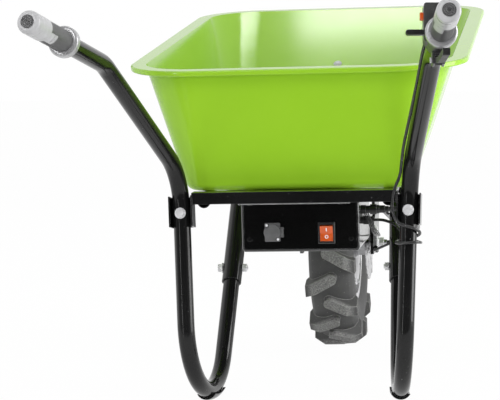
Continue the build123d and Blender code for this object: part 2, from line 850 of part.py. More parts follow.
stop_plane = Plane((arm_x, axle_y + stop_y, axle_z + arm_end_z), x_dir=(1, 0, 0), z_dir=(0, -1, 0))
with BuildPart() as right_fork_drilled:
    add(right_fork_plate.part)
    add(rod(stop_plane, brake_cable_dia / 2, -cable_stop, 2 * cable_stop), mode=Mode.SUBTRACT)

write(right_fork_drilled.part, "right_fork_plate")

# Axle, with its nuts and washers
axle_step = fork_half - weld_gap
bearing_seat = bearing_bore / 2 - running_fit
axle_profile = [
    (-axle_half, 0),
    (-axle_half, axle_thread_dia / 2),
    (-axle_step, axle_thread_dia / 2),
    (-axle_step, bearing_seat),
    (-axle_core_half, bearing_seat),
    (-axle_core_half, axle_core_radius),
    (axle_core_half, axle_core_radius),
    (axle_core_half, bearing_seat),
    (axle_step, bearing_seat),
    (axle_step, axle_thread_dia / 2),
    (axle_half, axle_thread_dia / 2),
    (axle_half, 0),
]
axle_solid = turned(axle_profile)
write(axle_solid, "axle")

nut_bore = axle_thread_dia + 2 * running_fit
nut_end = axle_washer_thick + axle_nut_height
nut_pieces = []
for side in (-1, 1):
    nut_plane = Plane((side * fork_outer, axle_y, axle_z), x_dir=(0, 1, 0), z_dir=(side, 0, 0))
    nut_pieces.append(ring(nut_plane, axle_washer, nut_bore, 0, axle_washer_thick))
    nut_pieces.append(hexagon(nut_plane, axle_nut, axle_washer_thick, nut_end, nut_bore))

with BuildPart() as axle_nuts:
    add(nut_pieces)

write(axle_nuts.part, "axle_nuts")

# Stator: a toothed core on the axle, with a coil round each tooth
core_bore = 2 * axle_core_radius + 2 * snug
stator_radius = shell_radius - shell_wall - magnet_thick - air_gap
tooth_middle = (tooth_root_radius + stator_radius) / 2
with BuildPart() as stator:
    with BuildSketch(across(-stator_half)):
        Circle(tooth_root_radius)
        with PolarLocations(tooth_middle, stator_teeth):
            Rectangle(stator_radius - tooth_root_radius + tooth_tip, tooth_width)
        with PolarLocations(stator_radius - tooth_tip / 2, stator_teeth):
            Rectangle(tooth_tip, 2 * tooth_width + tooth_tip)
        Circle(stator_radius, mode=Mode.INTERSECT)
        Circle(core_bore / 2, mode=Mode.SUBTRACT)
        with PolarLocations((tooth_root_radius + core_bore / 2) / 2, stator_teeth // 3):
            Circle(tooth_width, mode=Mode.SUBTRACT)
    extrude(amount=2 * stator_half)

write(stator.part, "stator")

coil_start = tooth_root_radius + tooth_width / 4
coil_end = stator_radius - tooth_tip - tooth_width / 4
coil_in_length = 2 * (stator_half + snug)
coil_in_width = tooth_width + 2 * snug
coil_pieces = []
for step in range(stator_teeth):
    angle = radians(360 / stator_teeth * step)
    tooth_out = Vector(0, cos(angle), sin(angle))
    coil_plane = Plane(Vector(0, axle_y, axle_z) + tooth_out * coil_start, x_dir=(1, 0, 0), z_dir=tooth_out)
    with BuildPart() as coil:
        with BuildSketch(coil_plane):
            RectangleRounded(coil_in_length + 2 * coil_wall, coil_in_width + 2 * coil_wall, coil_wall)
            Rectangle(coil_in_length, coil_in_width, mode=Mode.SUBTRACT)
        extrude(amount=coil_end - coil_start)
    coil_pieces.append(coil.part)

with BuildPart() as stator_coils:
    add(coil_pieces)

write(stator_coils.part, "stator_coils")

# Motor shell and rim in one casting, with magnets inside the shell
bead_seat = bead_radius - clear
flange_inner = bead_half + clear
rim_profile = [
    (-flange_inner - rim_flange, rim_flange_radius),
    (-flange_inner, rim_flange_radius),
    (-flange_inner, bead_seat),
    (-rim_well_half - rim_sheet, bead_seat),
    (-rim_well_half, rim_well_radius),
    (rim_well_half, rim_well_radius),
    (rim_well_half + rim_sheet, bead_seat),
    (flange_inner, bead_seat),
    (flange_inner, rim_flange_radius),
    (flange_inner + rim_flange, rim_flange_radius),
    (flange_inner + rim_flange, bead_seat - rim_sheet),
    (rim_well_half + 1.5 * rim_sheet, bead_seat - rim_sheet),
    (rim_well_half + rim_sheet / 2, rim_well_radius - rim_sheet),
    (rim_web_half, rim_well_radius - rim_sheet),
    (rim_web_half, shell_radius),
    (shell_half, shell_radius),
    (shell_half, shell_radius - shell_wall),
    (-shell_half, shell_radius - shell_wall),
    (-shell_half, shell_radius),
    (-rim_web_half, shell_radius),
    (-rim_web_half, rim_well_radius - rim_sheet),
    (-rim_well_half - rim_sheet / 2, rim_well_radius - rim_sheet),
    (-rim_well_half - 1.5 * rim_sheet, bead_seat - rim_sheet),
    (-flange_inner - rim_flange, bead_seat - rim_sheet),
]
screw_radius = shell_radius - shell_wall / 2
cover_face = shell_half + cover_thick
cover_screw_length = 2.4 * cover_thick
left_screw_seats = round_the_axle(-cover_face, screw_radius, cover_screws)
right_screw_seats = round_the_axle(cover_face, screw_radius, cover_screws)
cover_holes = [rod(seat, screw_hole, -cover_screw_length - snug, cover_thick)
               for seat in left_screw_seats + right_screw_seats]
valve_plane = Plane((-valve_side, axle_y, axle_z), x_dir=(1, 0, 0), z_dir=(0, 0, 1))
rim_turned = turned(rim_profile)
with BuildPart() as motor_rim:
    add(rim_turned)
    add(cover_holes, mode=Mode.SUBTRACT)
    add(rod(valve_plane, valve_dia + 2 * clear, shell_radius + clear, rim_flange_radius), mode=Mode.SUBTRACT)

write(motor_rim.part, "motor_rim")

magnet_outer = shell_radius - shell_wall - snug
magnet_inner = magnet_outer - magnet_thick
magnet_ring = ring(across(-stator_half), 2 * magnet_outer, 2 * magnet_inner, 0, 2 * stator_half)
with BuildPart() as magnet_slots:
    with BuildSketch(across(-2 * stator_half)):
        with PolarLocations(magnet_outer, magnet_count):
            Rectangle(3 * magnet_thick, 1.0)
    extrude(amount=4 * stator_half)

with BuildPart() as magnets:
    add(magnet_ring)
    add(magnet_slots.part, mode=Mode.SUBTRACT)

write(magnets.part, "magnets")

# Motor covers: discs that close the shell and hold the bearings; the right one carries the brake disc
bearing_inner = cover_face - bearing_width
bearing_hole = bearing_od / 2 + running_fit / 2
axle_lip = bearing_od / 2 - cover_thick
disc_seat = disc_x - disc_thick / 2
left_cover_profile = [
    (-shell_half, shell_radius),
    (-cover_face, shell_radius),
    (-cover_face, cover_hub_radius),
    (-cover_face - cover_thick, cover_hub_radius - cover_thick / 2),
    (-cover_face - cover_thick, axle_lip),
    (-cover_face, axle_lip),
    (-cover_face, bearing_hole),
    (-bearing_inner, bearing_hole),
    (-bearing_inner, cover_hub_radius),
    (-shell_half, cover_hub_radius + cover_thick),
]
right_cover_profile = [
    (shell_half, shell_radius),
    (cover_face, shell_radius),
    (cover_face, cover_hub_radius + cover_thick),
    (cover_face + cover_thick, cover_hub_radius),
    (disc_seat, cover_hub_radius),
    (disc_seat, axle_lip),
    (cover_face, axle_lip),
    (cover_face, bearing_hole),
    (bearing_inner, bearing_hole),
    (bearing_inner, cover_hub_radius),
    (shell_half, cover_hub_radius + cover_thick),
]
disc_face = disc_seat + disc_thick
disc_bolt_length = 3 * cover_thick
disc_bolt_seats = round_the_axle(disc_face, disc_bolt_radius + cover_thick / 2, disc_bolts)
disc_holes = [rod(seat, screw_hole, -disc_bolt_length - snug, disc_thick) for seat in disc_bolt_seats]
left_cover_turned = turned(left_cover_profile)
right_cover_turned = turned(right_cover_profile)
with BuildPart() as left_motor_cover:
    add(left_cover_turned)
    add(cover_holes, mode=Mode.SUBTRACT)

write(left_motor_cover.part, "left_motor_cover")

with BuildPart() as right_motor_cover:
    add(right_cover_turned)
    add(cover_holes, mode=Mode.SUBTRACT)
    add(disc_holes, mode=Mode.SUBTRACT)

write(right_motor_cover.part, "right_motor_cover")

with BuildPart() as wheel_screws:
    add([pan_screw(seat, cover_screw_length) for seat in left_screw_seats + right_screw_seats])
    add([pan_screw(seat, disc_bolt_length) for seat in disc_bolt_seats])

write(wheel_screws.part, "wheel_screws")

with BuildPart() as wheel_bearings:
    add(ring(across(-cover_face), bearing_od, bearing_bore, 0, bearing_width))
    add(ring(across(bearing_inner), bearing_od, bearing_bore, 0, bearing_width))

write(wheel_bearings.part, "wheel_bearings")

# Brake disc, with a ring of slots
slot_middle = (disc_radius + cover_hub_radius) / 2
with BuildPart() as brake_disc:
    with BuildSketch(across(disc_seat)):
        Circle(disc_radius)
        Circle(axle_lip, mode=Mode.SUBTRACT)
        with PolarLocations(slot_middle, 2 * disc_bolts, start_angle=18):
            SlotOverall((disc_radius - cover_hub_radius) * 0.5, cover_thick, mode=Mode.SUBTRACT)
        with PolarLocations(disc_radius - 2 * disc_thick, 6 * disc_bolts):
            Circle(disc_thick, mode=Mode.SUBTRACT)
    extrude(amount=disc_thick)
    add(disc_holes, mode=Mode.SUBTRACT)

write(brake_disc.part, "brake_disc")


# Tyre: a hollow casing with slanted lugs on both sides
def casing_sketch(half, tread, shoulder_half, shoulder, foot_half, foot_radius, lower, shrink=0.0):
    """Round tyre section over the beads, as half widths along the axle and radii."""
    flank = foot_radius * 0.6 + belly_radius * 0.4
    foot = [(-foot_half, foot_radius), (-foot_half, lower), (foot_half, lower), (foot_half, foot_radius)]
    brow = (belly_radius + shoulder) / 2
    with BuildSketch(wheel_plane) as section:
        with BuildLine():
            Polyline(*foot)
            for side in (-1, 1):
                ThreePointArc(
                    (side * foot_half, foot_radius),
                    (side * half * flank_bulge, flank),
                    (side * half, belly_radius),
                )
                ThreePointArc(
                    (side * half, belly_radius),
                    (side * half * brow_bulge, brow),
                    (side * shoulder_half, shoulder),
                )
            ThreePointArc((shoulder_half, shoulder), (0, tread), (-shoulder_half, shoulder))
        make_face()
        if shrink > 0:
            offset(amount=-shrink, mode=Mode.REPLACE)
    return section.sketch


bead_top = rim_flange_radius + rim_flange / 2
casing = casing_sketch(tyre_half, tread_radius, tread_half, shoulder_radius, bead_half, bead_top, bead_radius)
hollow_sizes = [
    tyre_half - tyre_wall,
    tread_radius - tread_wall,
    tread_half - tyre_wall,
    shoulder_radius - tread_wall,
    bead_half - bead_thick,
    bead_top,
    bead_radius,
]
hollow = casing_sketch(*hollow_sizes)
lug_brow = shoulder_radius + (wheel_radius - tread_radius)
lug_profile = [
    (-tread_half, belly_radius),
    (-lug_half, belly_radius + lug_foot_rise),
    (-lug_half, lug_brow),
    (-lug_edge_half, wheel_radius),
    (lug_edge_half, wheel_radius),
    (lug_half, lug_brow),
    (lug_half, belly_radius + lug_foot_rise),
    (tread_half, belly_radius),
]
lug_room = turned(lug_profile)


def lug(side, drop):
    """One lug at an angle below the rear of the axle, from its rounded inner end out past the tyre's side."""
    angle = radians(drop)
    outward = Vector(0, -cos(angle), -sin(angle))
    plane = Plane(Vector(0, axle_y, axle_z) + outward * belly_radius, x_dir=(1, 0, 0), z_dir=outward)
    slant = radians(lug_slant)
    middle = lug_half / 2
    length = 2 * (middle + lug_reach) / cos(slant) + lug_width
    with BuildPart() as block:
        with BuildSketch(plane):
            with Locations((side * (middle + lug_width / 2), -lug_width / 2 * tan(slant))):
                SlotOverall(length + lug_width, lug_width, rotation=-side * lug_slant)
        extrude(amount=wheel_radius - belly_radius + tread_wall)
        add(lug_room, mode=Mode.INTERSECT)
    return block.part


right_lug = lug(1, lug_first_right)
left_lug = lug(-1, lug_first_left)
lug_ring = []
for step in range(lugs_a_side):
    lug_ring.append(right_lug.rotate(axle_line, 360 / lugs_a_side * step))
    lug_ring.append(left_lug.rotate(axle_line, 360 / lugs_a_side * step))

with BuildPart() as tyre:
    add(casing)
    revolve(axis=axle_line)
    add(lug_ring)
    add(hollow)
    revolve(axis=axle_line, mode=Mode.SUBTRACT)

write(tyre.part, "tyre")

# Inner tube, with its valve through the well of the rim
tube_outside = casing_sketch(*hollow_sizes, shrink=clear)
tube_inside = casing_sketch(*hollow_sizes, shrink=clear + tube_rubber)
valve_root = bead_radius + clear + tube_rubber / 2
with BuildPart() as inner_tube:
    add(tube_outside)
    revolve(axis=axle_line)
    add(rod(valve_plane, valve_dia, valve_end_radius, valve_root))
    add(tube_inside)
    revolve(axis=axle_line, mode=Mode.SUBTRACT)
    add(rod(valve_plane, valve_bore, valve_end_radius, bead_radius + 4 * tube_rubber), mode=Mode.SUBTRACT)

write(inner_tube.part, "inner_tube")

# Brake caliper on the inner face of the right fork plate, with a pad on each side of the disc
disc_back = disc_x + disc_thick / 2
pad_inner_x = disc_seat - pad_gap - pad_thick
pad_outer_x = disc_back + pad_gap
slot_low = pad_inner_x - snug
slot_high = pad_outer_x + pad_thick + snug
caliper_low = slot_low - caliper_inner_wall
caliper_high = fork_half - snug
caliper_plane = Plane(
    (0, axle_y + caliper_y, axle_z + caliper_z),
    x_dir=(0, caliper_out.X, caliper_out.Y),
    z_dir=(1, 0, 0),
)
pad_reach = -caliper_length * 0.1
with BuildPart() as brake_caliper:
    with BuildSketch(caliper_plane.offset(caliper_low)):
        RectangleRounded(caliper_length, caliper_width, caliper_width / 5)
    extrude(amount=caliper_high - caliper_low)
    fillet(brake_caliper.faces().sort_by(Axis.X)[0].edges(), caliper_inner_wall / 2)
    with BuildSketch(caliper_plane.offset(slot_low)):
        with Locations((-caliper_length * 0.15, 0)):
            Rectangle(caliper_length, 2 * caliper_width)
    extrude(amount=slot_high - slot_low, mode=Mode.SUBTRACT)
    with BuildSketch(caliper_plane.offset(slot_high)):
        Circle(arm_shaft_dia / 2 + running_fit)
        with Locations((-caliper_bolt_reach, 0), (caliper_bolt_reach, 0)):
            Circle(tray_bolt_dia / 2 + snug)
    extrude(amount=caliper_high - slot_high, mode=Mode.SUBTRACT)

write(brake_caliper.part, "brake_caliper")

with BuildPart() as brake_pads:
    with BuildSketch(caliper_plane.offset(pad_inner_x)):
        with Locations((pad_reach, 0)):
            RectangleRounded(pad_length, pad_width, pad_thick / 2)
    extrude(amount=pad_thick)
    with BuildSketch(caliper_plane.offset(pad_outer_x)):
        with Locations((pad_reach, 0)):
            RectangleRounded(pad_length, pad_width, pad_thick / 2)
    extrude(amount=pad_thick)

write(brake_pads.part, "brake_pads")

# Brake arm: its shaft turns in the caliper, and its end hangs in front of the cable stop
with BuildPart() as brake_arm:
    with BuildSketch(across(arm_x - arm_thick / 2)):
        with Locations((caliper_y, caliper_z)):
            Circle(arm_width * 0.9)
        with Locations((caliper_y, caliper_z - arm_length / 2)):
            SlotOverall(arm_length + arm_width, arm_width, rotation=90)
        with Locations((caliper_y, arm_end_z)):
            Circle(arm_width / 4, mode=Mode.SUBTRACT)
    extrude(amount=arm_thick)
    with BuildSketch(across(slot_high + clear)):
        with Locations((caliper_y, caliper_z)):
            Circle(arm_shaft_dia / 2)
    extrude(amount=arm_x - slot_high - clear)

write(brake_arm.part, "brake_arm")

# Frame bolts: rear uprights, sleeves and caliper
leg_bolt_seat = leg_bolt_plane.offset(tube_od / 2 + snug)
leg_bolt_grip = tube_od + snug + clear + bracket_sheet + snug
splice_half = sleeve_od / 2 + bolt_flange / 2 * abs(front_up.X) + snug
splice_seat = splice_plane.offset(splice_half)
splice_grip = 2 * splice_half
right_bolts = flange_bolt(leg_bolt_seat, leg_bolt_grip) + flange_bolt(splice_seat, splice_grip)
left_bolts = [mirrored(piece) for piece in right_bolts]
caliper_bolt_pieces = []
for bolt_y, bolt_z in caliper_bolt_spots:
    seat = Plane((fork_outer, axle_y + bolt_y, axle_z + bolt_z), x_dir=(0, 1, 0), z_dir=(1, 0, 0))
    with BuildPart() as caliper_bolt:
        add(hexagon(seat, bolt_head - tray_bolt_dia / 2, 0, tray_bolt_dia / 2))
        add(rod(seat, tray_bolt_dia, slot_high + clear - fork_outer, 0))
    caliper_bolt_pieces.append(caliper_bolt.part)

with BuildPart() as frame_bolts:
    add(right_bolts + left_bolts + caliper_bolt_pieces)

write(frame_bolts.part, "frame_bolts")

# Battery box: a folded sheet body, open at the rear, that hangs under the cross bars by its roof
box_rear_y = leg_y + box_rear_ahead
box_body_y = box_rear_y + cover_depth + weld_gap
box_front_y = box_rear_y + box_length
box_roof_z = bar_floor_z
box_height = box_roof_z - box_floor_z
box_middle_z = (box_roof_z + box_floor_z) / 2
box_in_half = box_half - box_sheet


def box_plane(y):
    """Upright plane that faces the rear, with its x along X and its y up from the box's middle."""
    return Plane((0, y, box_middle_z), x_dir=(1, 0, 0), z_dir=(0, -1, 0))


tongue_end_y = leg_y + box_tongue_gap
gland_spots = [(leg_y + connector_ahead, connector_z), (leg_y + control_gland_ahead, control_gland_z)]
gland_planes = [Plane((box_half, y, z), x_dir=(0, 1, 0), z_dir=(1, 0, 0)) for y, z in gland_spots]
gland_thread = gland_dia * 0.7
with BuildPart() as battery_box:
    with BuildSketch(box_plane(box_front_y)):
        RectangleRounded(2 * box_half, box_height, box_corner)
    extrude(amount=box_front_y - box_body_y)
    with BuildSketch(box_plane(box_front_y - box_sheet)):
        RectangleRounded(2 * box_in_half, box_height - 2 * box_sheet, box_corner - box_sheet)
    extrude(amount=box_front_y - box_body_y, mode=Mode.SUBTRACT)
    with BuildSketch(Plane.XY.offset(box_roof_z - box_sheet)):
        with Locations((0, (tongue_end_y + box_front_y) / 2)):
            Rectangle(2 * (box_half - box_corner), box_front_y - tongue_end_y)
    extrude(amount=box_sheet)
    for plane in gland_planes:
        add(rod(plane, gland_thread + 2 * snug, -2 * box_sheet, box_sheet), mode=Mode.SUBTRACT)
    for plane in roof_screw_planes:
        add(rod(plane, screw_hole, -2 * box_sheet, box_sheet), mode=Mode.SUBTRACT)

write(battery_box.part, "battery_box")

# Rear panel: a shallow pressed cover with a lip that goes into the box
panel_height = box_height - box_sheet - weld_gap
panel_plane = Plane((0, box_rear_y, box_floor_z + panel_height / 2), x_dir=(1, 0, 0), z_dir=(0, -1, 0))
panel_in = panel_plane.offset(-box_sheet)
socket_spot = (socket_x, socket_z - panel_plane.origin.Z)
switch_spot = (switch_x, switch_z - panel_plane.origin.Z)
socket_screw_x = socket_width / 2 - small_head / 2
socket_screw_y = socket_height / 2 - small_head / 2
socket_screw_spots = [
    (socket_spot[0] - socket_screw_x, socket_spot[1] + socket_screw_y),
    (socket_spot[0] + socket_screw_x, socket_spot[1] - socket_screw_y),
]
panel_screw_spots = [(side * panel_screw_half, panel_screw_z - panel_plane.origin.Z) for side in (-1, 1)]
tub_width = rocker_width + 2 * (clear + tub_wall)
rocker_swing = rocker_crest + rocker_pivot_depth
tub_height = rocker_height + 2 * rocker_swing * sin(radians(rocker_tilt)) + 2 * (clear + tub_wall)
with BuildPart() as box_cover:
    with BuildSketch(panel_plane):
        RectangleRounded(2 * box_half, panel_height, box_corner)
    extrude(amount=-cover_depth)
    fillet(box_cover.faces().sort_by(Axis.Y)[0].edges(), cover_edge)
    with BuildSketch(panel_in):
        RectangleRounded(2 * box_in_half, panel_height - 2 * box_sheet, box_corner - box_sheet)
    extrude(amount=-cover_depth, mode=Mode.SUBTRACT)
    with BuildSketch(panel_in):
        with Locations(socket_spot):
            Circle(socket_barrel / 2 + snug)
        with Locations(switch_spot):
            Rectangle(tub_width + 2 * snug, tub_height + 2 * snug)
        with Locations(*socket_screw_spots, *panel_screw_spots):
            Circle(screw_hole / 2)
    extrude(amount=2 * box_sheet, mode=Mode.SUBTRACT)

lip_half = box_in_half - clear
lip_height = panel_height - 2 * (box_sheet + clear)
with BuildPart() as cover_lips:
    with BuildSketch(panel_in):
        RectangleRounded(2 * box_in_half, panel_height - 2 * box_sheet, box_corner - box_sheet)
        RectangleRounded(
            2 * (lip_half - box_sheet),
            lip_height - 2 * box_sheet,
            box_corner - box_sheet - clear,
            mode=Mode.SUBTRACT,
        )
    extrude(amount=-cover_depth + box_sheet)
    with BuildSketch(panel_in):
        RectangleRounded(2 * lip_half, lip_height, box_corner - box_sheet - clear)
        RectangleRounded(
            2 * (lip_half - box_sheet),
            lip_height - 2 * box_sheet,
            box_corner - box_sheet - clear,
            mode=Mode.SUBTRACT,
        )
    extrude(amount=-cover_depth - cover_lip)

with BuildPart() as lipped_cover:
    add(box_cover.part)
    add(cover_lips.part)
    with BuildSketch(panel_plane):
        with Locations(*socket_screw_spots, *panel_screw_spots):
            Circle(screw_hole / 2)
    extrude(amount=-4 * box_sheet, mode=Mode.SUBTRACT)

write(lipped_cover.part, "box_cover")

# Battery pack and motor controller on the floor of the box
floor_z = box_floor_z + box_sheet + weld_gap
inner_front_y = box_front_y - box_sheet - inner_gap
pack_left = -box_in_half + box_corner
with BuildPart() as battery_pack:
    with BuildSketch(Plane.XY.offset(floor_z)):
        with Locations((pack_left + pack_width / 2, inner_front_y - pack_length / 2)):
            RectangleRounded(pack_width, pack_length, inner_gap)
    extrude(amount=pack_height)
    chamfer(battery_pack.faces().sort_by(Axis.Z)[-1].edges(), inner_gap)

write(battery_pack.part, "battery_pack")

controller_left = pack_left + pack_width + inner_gap
fin_gap = controller_width / 12
with BuildPart() as motor_controller:
    with BuildSketch(Plane.XY.offset(floor_z)):
        with Locations((controller_left + controller_width / 2, inner_front_y - pack_length / 2)):
            RectangleRounded(controller_width, pack_length, inner_gap)
    extrude(amount=controller_height)
    with BuildSketch(Plane.XY.offset(floor_z + controller_height)):
        with Locations((controller_left + controller_width / 2, inner_front_y - pack_length / 2)):
            with GridLocations(2 * fin_gap, 0, 5, 1):
                Rectangle(fin_gap, 2 * pack_length)
    extrude(amount=-2 * fin_gap, mode=Mode.SUBTRACT)

write(motor_controller.part, "motor_controller")

# Charge socket: square flange, round barrel, three pins, and hinge ears for its cap
hinge_x = socket_spot[0] + cap_radius + knuckle_dia / 2 + clear
hinge_level = socket_flange + clear + cap_thick / 4
ear_length = knuckle_length / 2
ear_low = knuckle_length / 2 + clear
hinge_plane = Plane(panel_plane.origin, x_dir=(1, 0, 0), z_dir=(0, 0, 1))
lower_ear = hinge_plane.offset(socket_spot[1] - ear_low - ear_length)
upper_ear = hinge_plane.offset(socket_spot[1] + ear_low)
flange_edge = socket_spot[0] + socket_width / 2
with BuildPart() as charge_socket:
    with BuildSketch(panel_plane):
        with Locations(socket_spot):
            RectangleRounded(socket_width, socket_height, box_sheet)
    extrude(amount=socket_flange)
    with BuildSketch(panel_plane):
        with Locations(socket_spot):
            Circle(socket_barrel / 2)
    extrude(amount=-socket_barrel_length)
    with BuildSketch(panel_plane.offset(socket_flange)):
        with Locations(socket_spot):
            Circle(socket_mouth / 2)
            with PolarLocations(socket_mouth / 4, 3, start_angle=90):
                Circle(socket_mouth / 12, mode=Mode.SUBTRACT)
    extrude(amount=-socket_mouth_depth, mode=Mode.SUBTRACT)
    with BuildSketch(panel_plane):
        for side in (-1, 1):
            with Locations(((flange_edge + hinge_x) / 2, socket_spot[1] + side * (ear_low + ear_length / 2))):
                Rectangle(hinge_x - flange_edge + knuckle_dia, ear_length)
    extrude(amount=socket_flange)
    with BuildSketch(lower_ear):
        with Locations((hinge_x, -hinge_level)):
            Circle(knuckle_dia / 2)
    extrude(amount=ear_length)
    with BuildSketch(upper_ear):
        with Locations((hinge_x, -hinge_level)):
            Circle(knuckle_dia / 2)
    extrude(amount=ear_length)
    with BuildSketch(lower_ear):
        with Locations((hinge_x, -hinge_level)):
            Circle(cap_pin / 2)
    extrude(amount=2 * (ear_low + ear_length))
    with BuildSketch(panel_plane.offset(socket_flange)):
        with Locations(*socket_screw_spots):
            Circle(screw_hole / 2)
    extrude(amount=-socket_flange, mode=Mode.SUBTRACT)

write(charge_socket.part, "charge_socket")

# Socket cap: a round lid that swings on the socket's pin
cap_low = socket_flange + clear
screw_room = small_head / 2 + clear
with BuildPart() as socket_cap:
    with BuildSketch(panel_plane.offset(cap_low)):
        with Locations(socket_spot):
            Circle(cap_radius)
        with Locations(*socket_screw_spots):
            Circle(screw_room, mode=Mode.SUBTRACT)
    extrude(amount=cap_thick)
    fillet(socket_cap.faces().sort_by(Axis.Y)[0].edges(), cap_thick / 5)
    with BuildSketch(panel_plane.offset(cap_low)):
        with Locations(((socket_spot[0] + hinge_x) / 2, socket_spot[1])):
            Rectangle(hinge_x - socket_spot[0], knuckle_length)
    extrude(amount=cap_thick / 2)
    with BuildSketch(hinge_plane.offset(socket_spot[1] - knuckle_length / 2)):
        with Locations((hinge_x, -hinge_level)):
            Circle(knuckle_dia / 2)
    extrude(amount=knuckle_length)
    with BuildSketch(hinge_plane.offset(socket_spot[1] - knuckle_length)):
        with Locations((hinge_x, -hinge_level)):
            Circle(cap_pin / 2 + running_fit)
    extrude(amount=2 * knuckle_length, mode=Mode.SUBTRACT)

write(socket_cap.part, "socket_cap")

# Rocker switch: a bezel with a tub behind the panel, and a rocker on two pins
tub_in_width = rocker_width + 2 * clear
tub_in_height = tub_height - 2 * tub_wall
rocker_line = Plane(
    (switch_x, box_rear_y + rocker_pivot_depth, switch_z),
    x_dir=(0, 0, 1),
    z_dir=(1, 0, 0),
)
with BuildPart() as switch_housing:
    with BuildSketch(panel_plane):
        with Locations(switch_spot):
            RectangleRounded(switch_width, switch_height, tub_wall)
    extrude(amount=switch_bezel)
    chamfer(switch_housing.faces().sort_by(Axis.Y)[0].edges(), tub_wall)
    with BuildSketch(panel_plane):
        with Locations(switch_spot):
            Rectangle(tub_width, tub_height)
    extrude(amount=-tub_depth)
    with BuildSketch(panel_plane.offset(switch_bezel)):
        with Locations(switch_spot):
            Rectangle(tub_in_width, tub_in_height)
    extrude(amount=-switch_bezel - tub_depth + tub_wall, mode=Mode.SUBTRACT)
    add(rod(rocker_line, rocker_pin + 2 * running_fit, -tub_width, tub_width), mode=Mode.SUBTRACT)

write(switch_housing.part, "switch_housing")

# Rocker section: x up, y towards the rear from the pivot, leaning with its upper end out
rocker_half = rocker_height / 2
rocker_lean = radians(rocker_tilt)
rocker_section = Plane(
    rocker_line.origin - Vector(rocker_width / 2, 0, 0),
    x_dir=(0, -sin(rocker_lean), cos(rocker_lean)),
    z_dir=(1, 0, 0),
)
with BuildPart() as rocker:
    with BuildSketch(rocker_section):
        with BuildLine():
            Polyline(
                (-rocker_half, rocker_swing),
                (0, rocker_swing - rocker_dip),
                (rocker_half, rocker_swing),
                (rocker_half, rocker_pivot_depth - rocker_pin),
                (rocker_half / 2, -rocker_swing),
                (-rocker_half / 2, -rocker_swing),
                (-rocker_half, rocker_pivot_depth - rocker_pin),
                close=True,
            )
        make_face()
    extrude(amount=rocker_width)
    add(rod(rocker_line, rocker_pin, -tub_in_width / 2 - tub_wall * 0.8, tub_in_width / 2 + tub_wall * 0.8))

write(rocker.part, "rocker")

# Panel screws: socket, cover and roof
socket_screw_planes = [
    Plane(panel_plane.from_local_coords(Vector(x, y, socket_flange)), x_dir=(1, 0, 0), z_dir=(0, -1, 0))
    for x, y in socket_screw_spots
]
cover_screw_planes = [
    Plane(panel_plane.from_local_coords(Vector(x, y, 0)), x_dir=(1, 0, 0), z_dir=(0, -1, 0))
    for x, y in panel_screw_spots
]
with BuildPart() as panel_screws:
    add([pan_screw(plane, socket_flange + 2 * box_sheet) for plane in socket_screw_planes])
    add([pan_screw(plane, 3 * box_sheet) for plane in cover_screw_planes])
    add([pan_screw(plane, box_sheet + bar_wall / 2) for plane in roof_screw_planes])

write(panel_screws.part, "panel_screws")

# Cable glands on the right wall of the box, and the motor connector
gland_hex = gland_length * 0.4
with BuildPart() as cable_glands:
    for plane in gland_planes:
        add(rod(plane, gland_thread, -box_sheet - gland_hex, gland_hex))
        add(hexagon(plane, gland_dia, 0, gland_hex))
        add(rod(plane, gland_dia * 0.9, gland_hex, gland_length))

write(cable_glands.part, "cable_glands")

connector_plane = gland_planes[0].offset(gland_length)
connector_half = connector_length / 2
with BuildPart() as cable_connector:
    add(rod(connector_plane, connector_dia, 0, connector_half * 0.7))
    add(rod(connector_plane, connector_dia * 0.85, connector_half * 0.7, connector_half))
    add(rod(connector_plane, connector_dia * 0.75, connector_half, connector_length * 0.8))
    add(rod(connector_plane, connector_dia * 0.6, connector_length * 0.8, connector_length))

write(cable_connector.part, "cable_connector")


# Grips: rubber sleeve, palm piece with two tongues, flange collar and end cap
def grip_spot(right, up, back):
    """A spot beside the right grip, from the front of its collar."""
    return grip_plane.from_local_coords(Vector(right, up, back))


grip_line = Axis(grip_plane.origin, grip_axis)
palm_angle = radians(palm_turn)
palm_across = grip_plane.x_dir * cos(palm_angle) + grip_plane.y_dir * sin(palm_angle)
palm_plane = Plane(grip_plane.origin, x_dir=palm_across, z_dir=grip_axis)
sleeve_end = grip_length - cap_face_depth
palm_radius = grip_dia / 2 + palm_proud
tongue_half = grip_dia / 4


def palm_block(margin):
    """The palm piece, or the room that it takes in the sleeve where a margin is given."""
    outer = 2 * (palm_radius + margin)
    bore = grip_dia - 2 * (palm_wall + margin)
    with BuildPart() as block:
        add(ring(grip_plane, outer, bore, palm_start - margin, sleeve_end + margin))
        with BuildSketch(palm_plane.offset(palm_start - 2 * snug)):
            for side in (-1, 1):
                with Locations((side * (tongue_half + margin + grip_dia / 2), 0)):
                    Rectangle(grip_dia, 2 * grip_dia)
        extrude(amount=palm_tongue + 2 * snug - margin, mode=Mode.SUBTRACT)
    return block.part


palm_sleeve = palm_block(0)
palm_room = palm_block(snug)
palm_end = ring(grip_plane, 2 * palm_radius, cap_face_dia + 2 * snug, sleeve_end, grip_length - palm_proud)
with BuildPart() as right_palm:
    add(palm_sleeve)
    add(palm_end)
    fillet(right_palm.faces().sort_by(grip_line)[-1].outer_wire().edges(), palm_round)

with BuildPart() as grip_palms:
    add([right_palm.part, mirrored(right_palm.part)])

write(grip_palms.part, "grip_palms")

grip_bore = tube_od + 2 * snug
with BuildPart() as right_grip:
    add(rod(grip_plane, grip_dia, grip_collar_length + snug, sleeve_end))
    add(rod(grip_plane, grip_bore, 0, grip_length - tube_setback + snug), mode=Mode.SUBTRACT)
    add(palm_room, mode=Mode.SUBTRACT)

write(right_grip.part, "right_grip")
write(mirrored(right_grip.part), "left_grip")

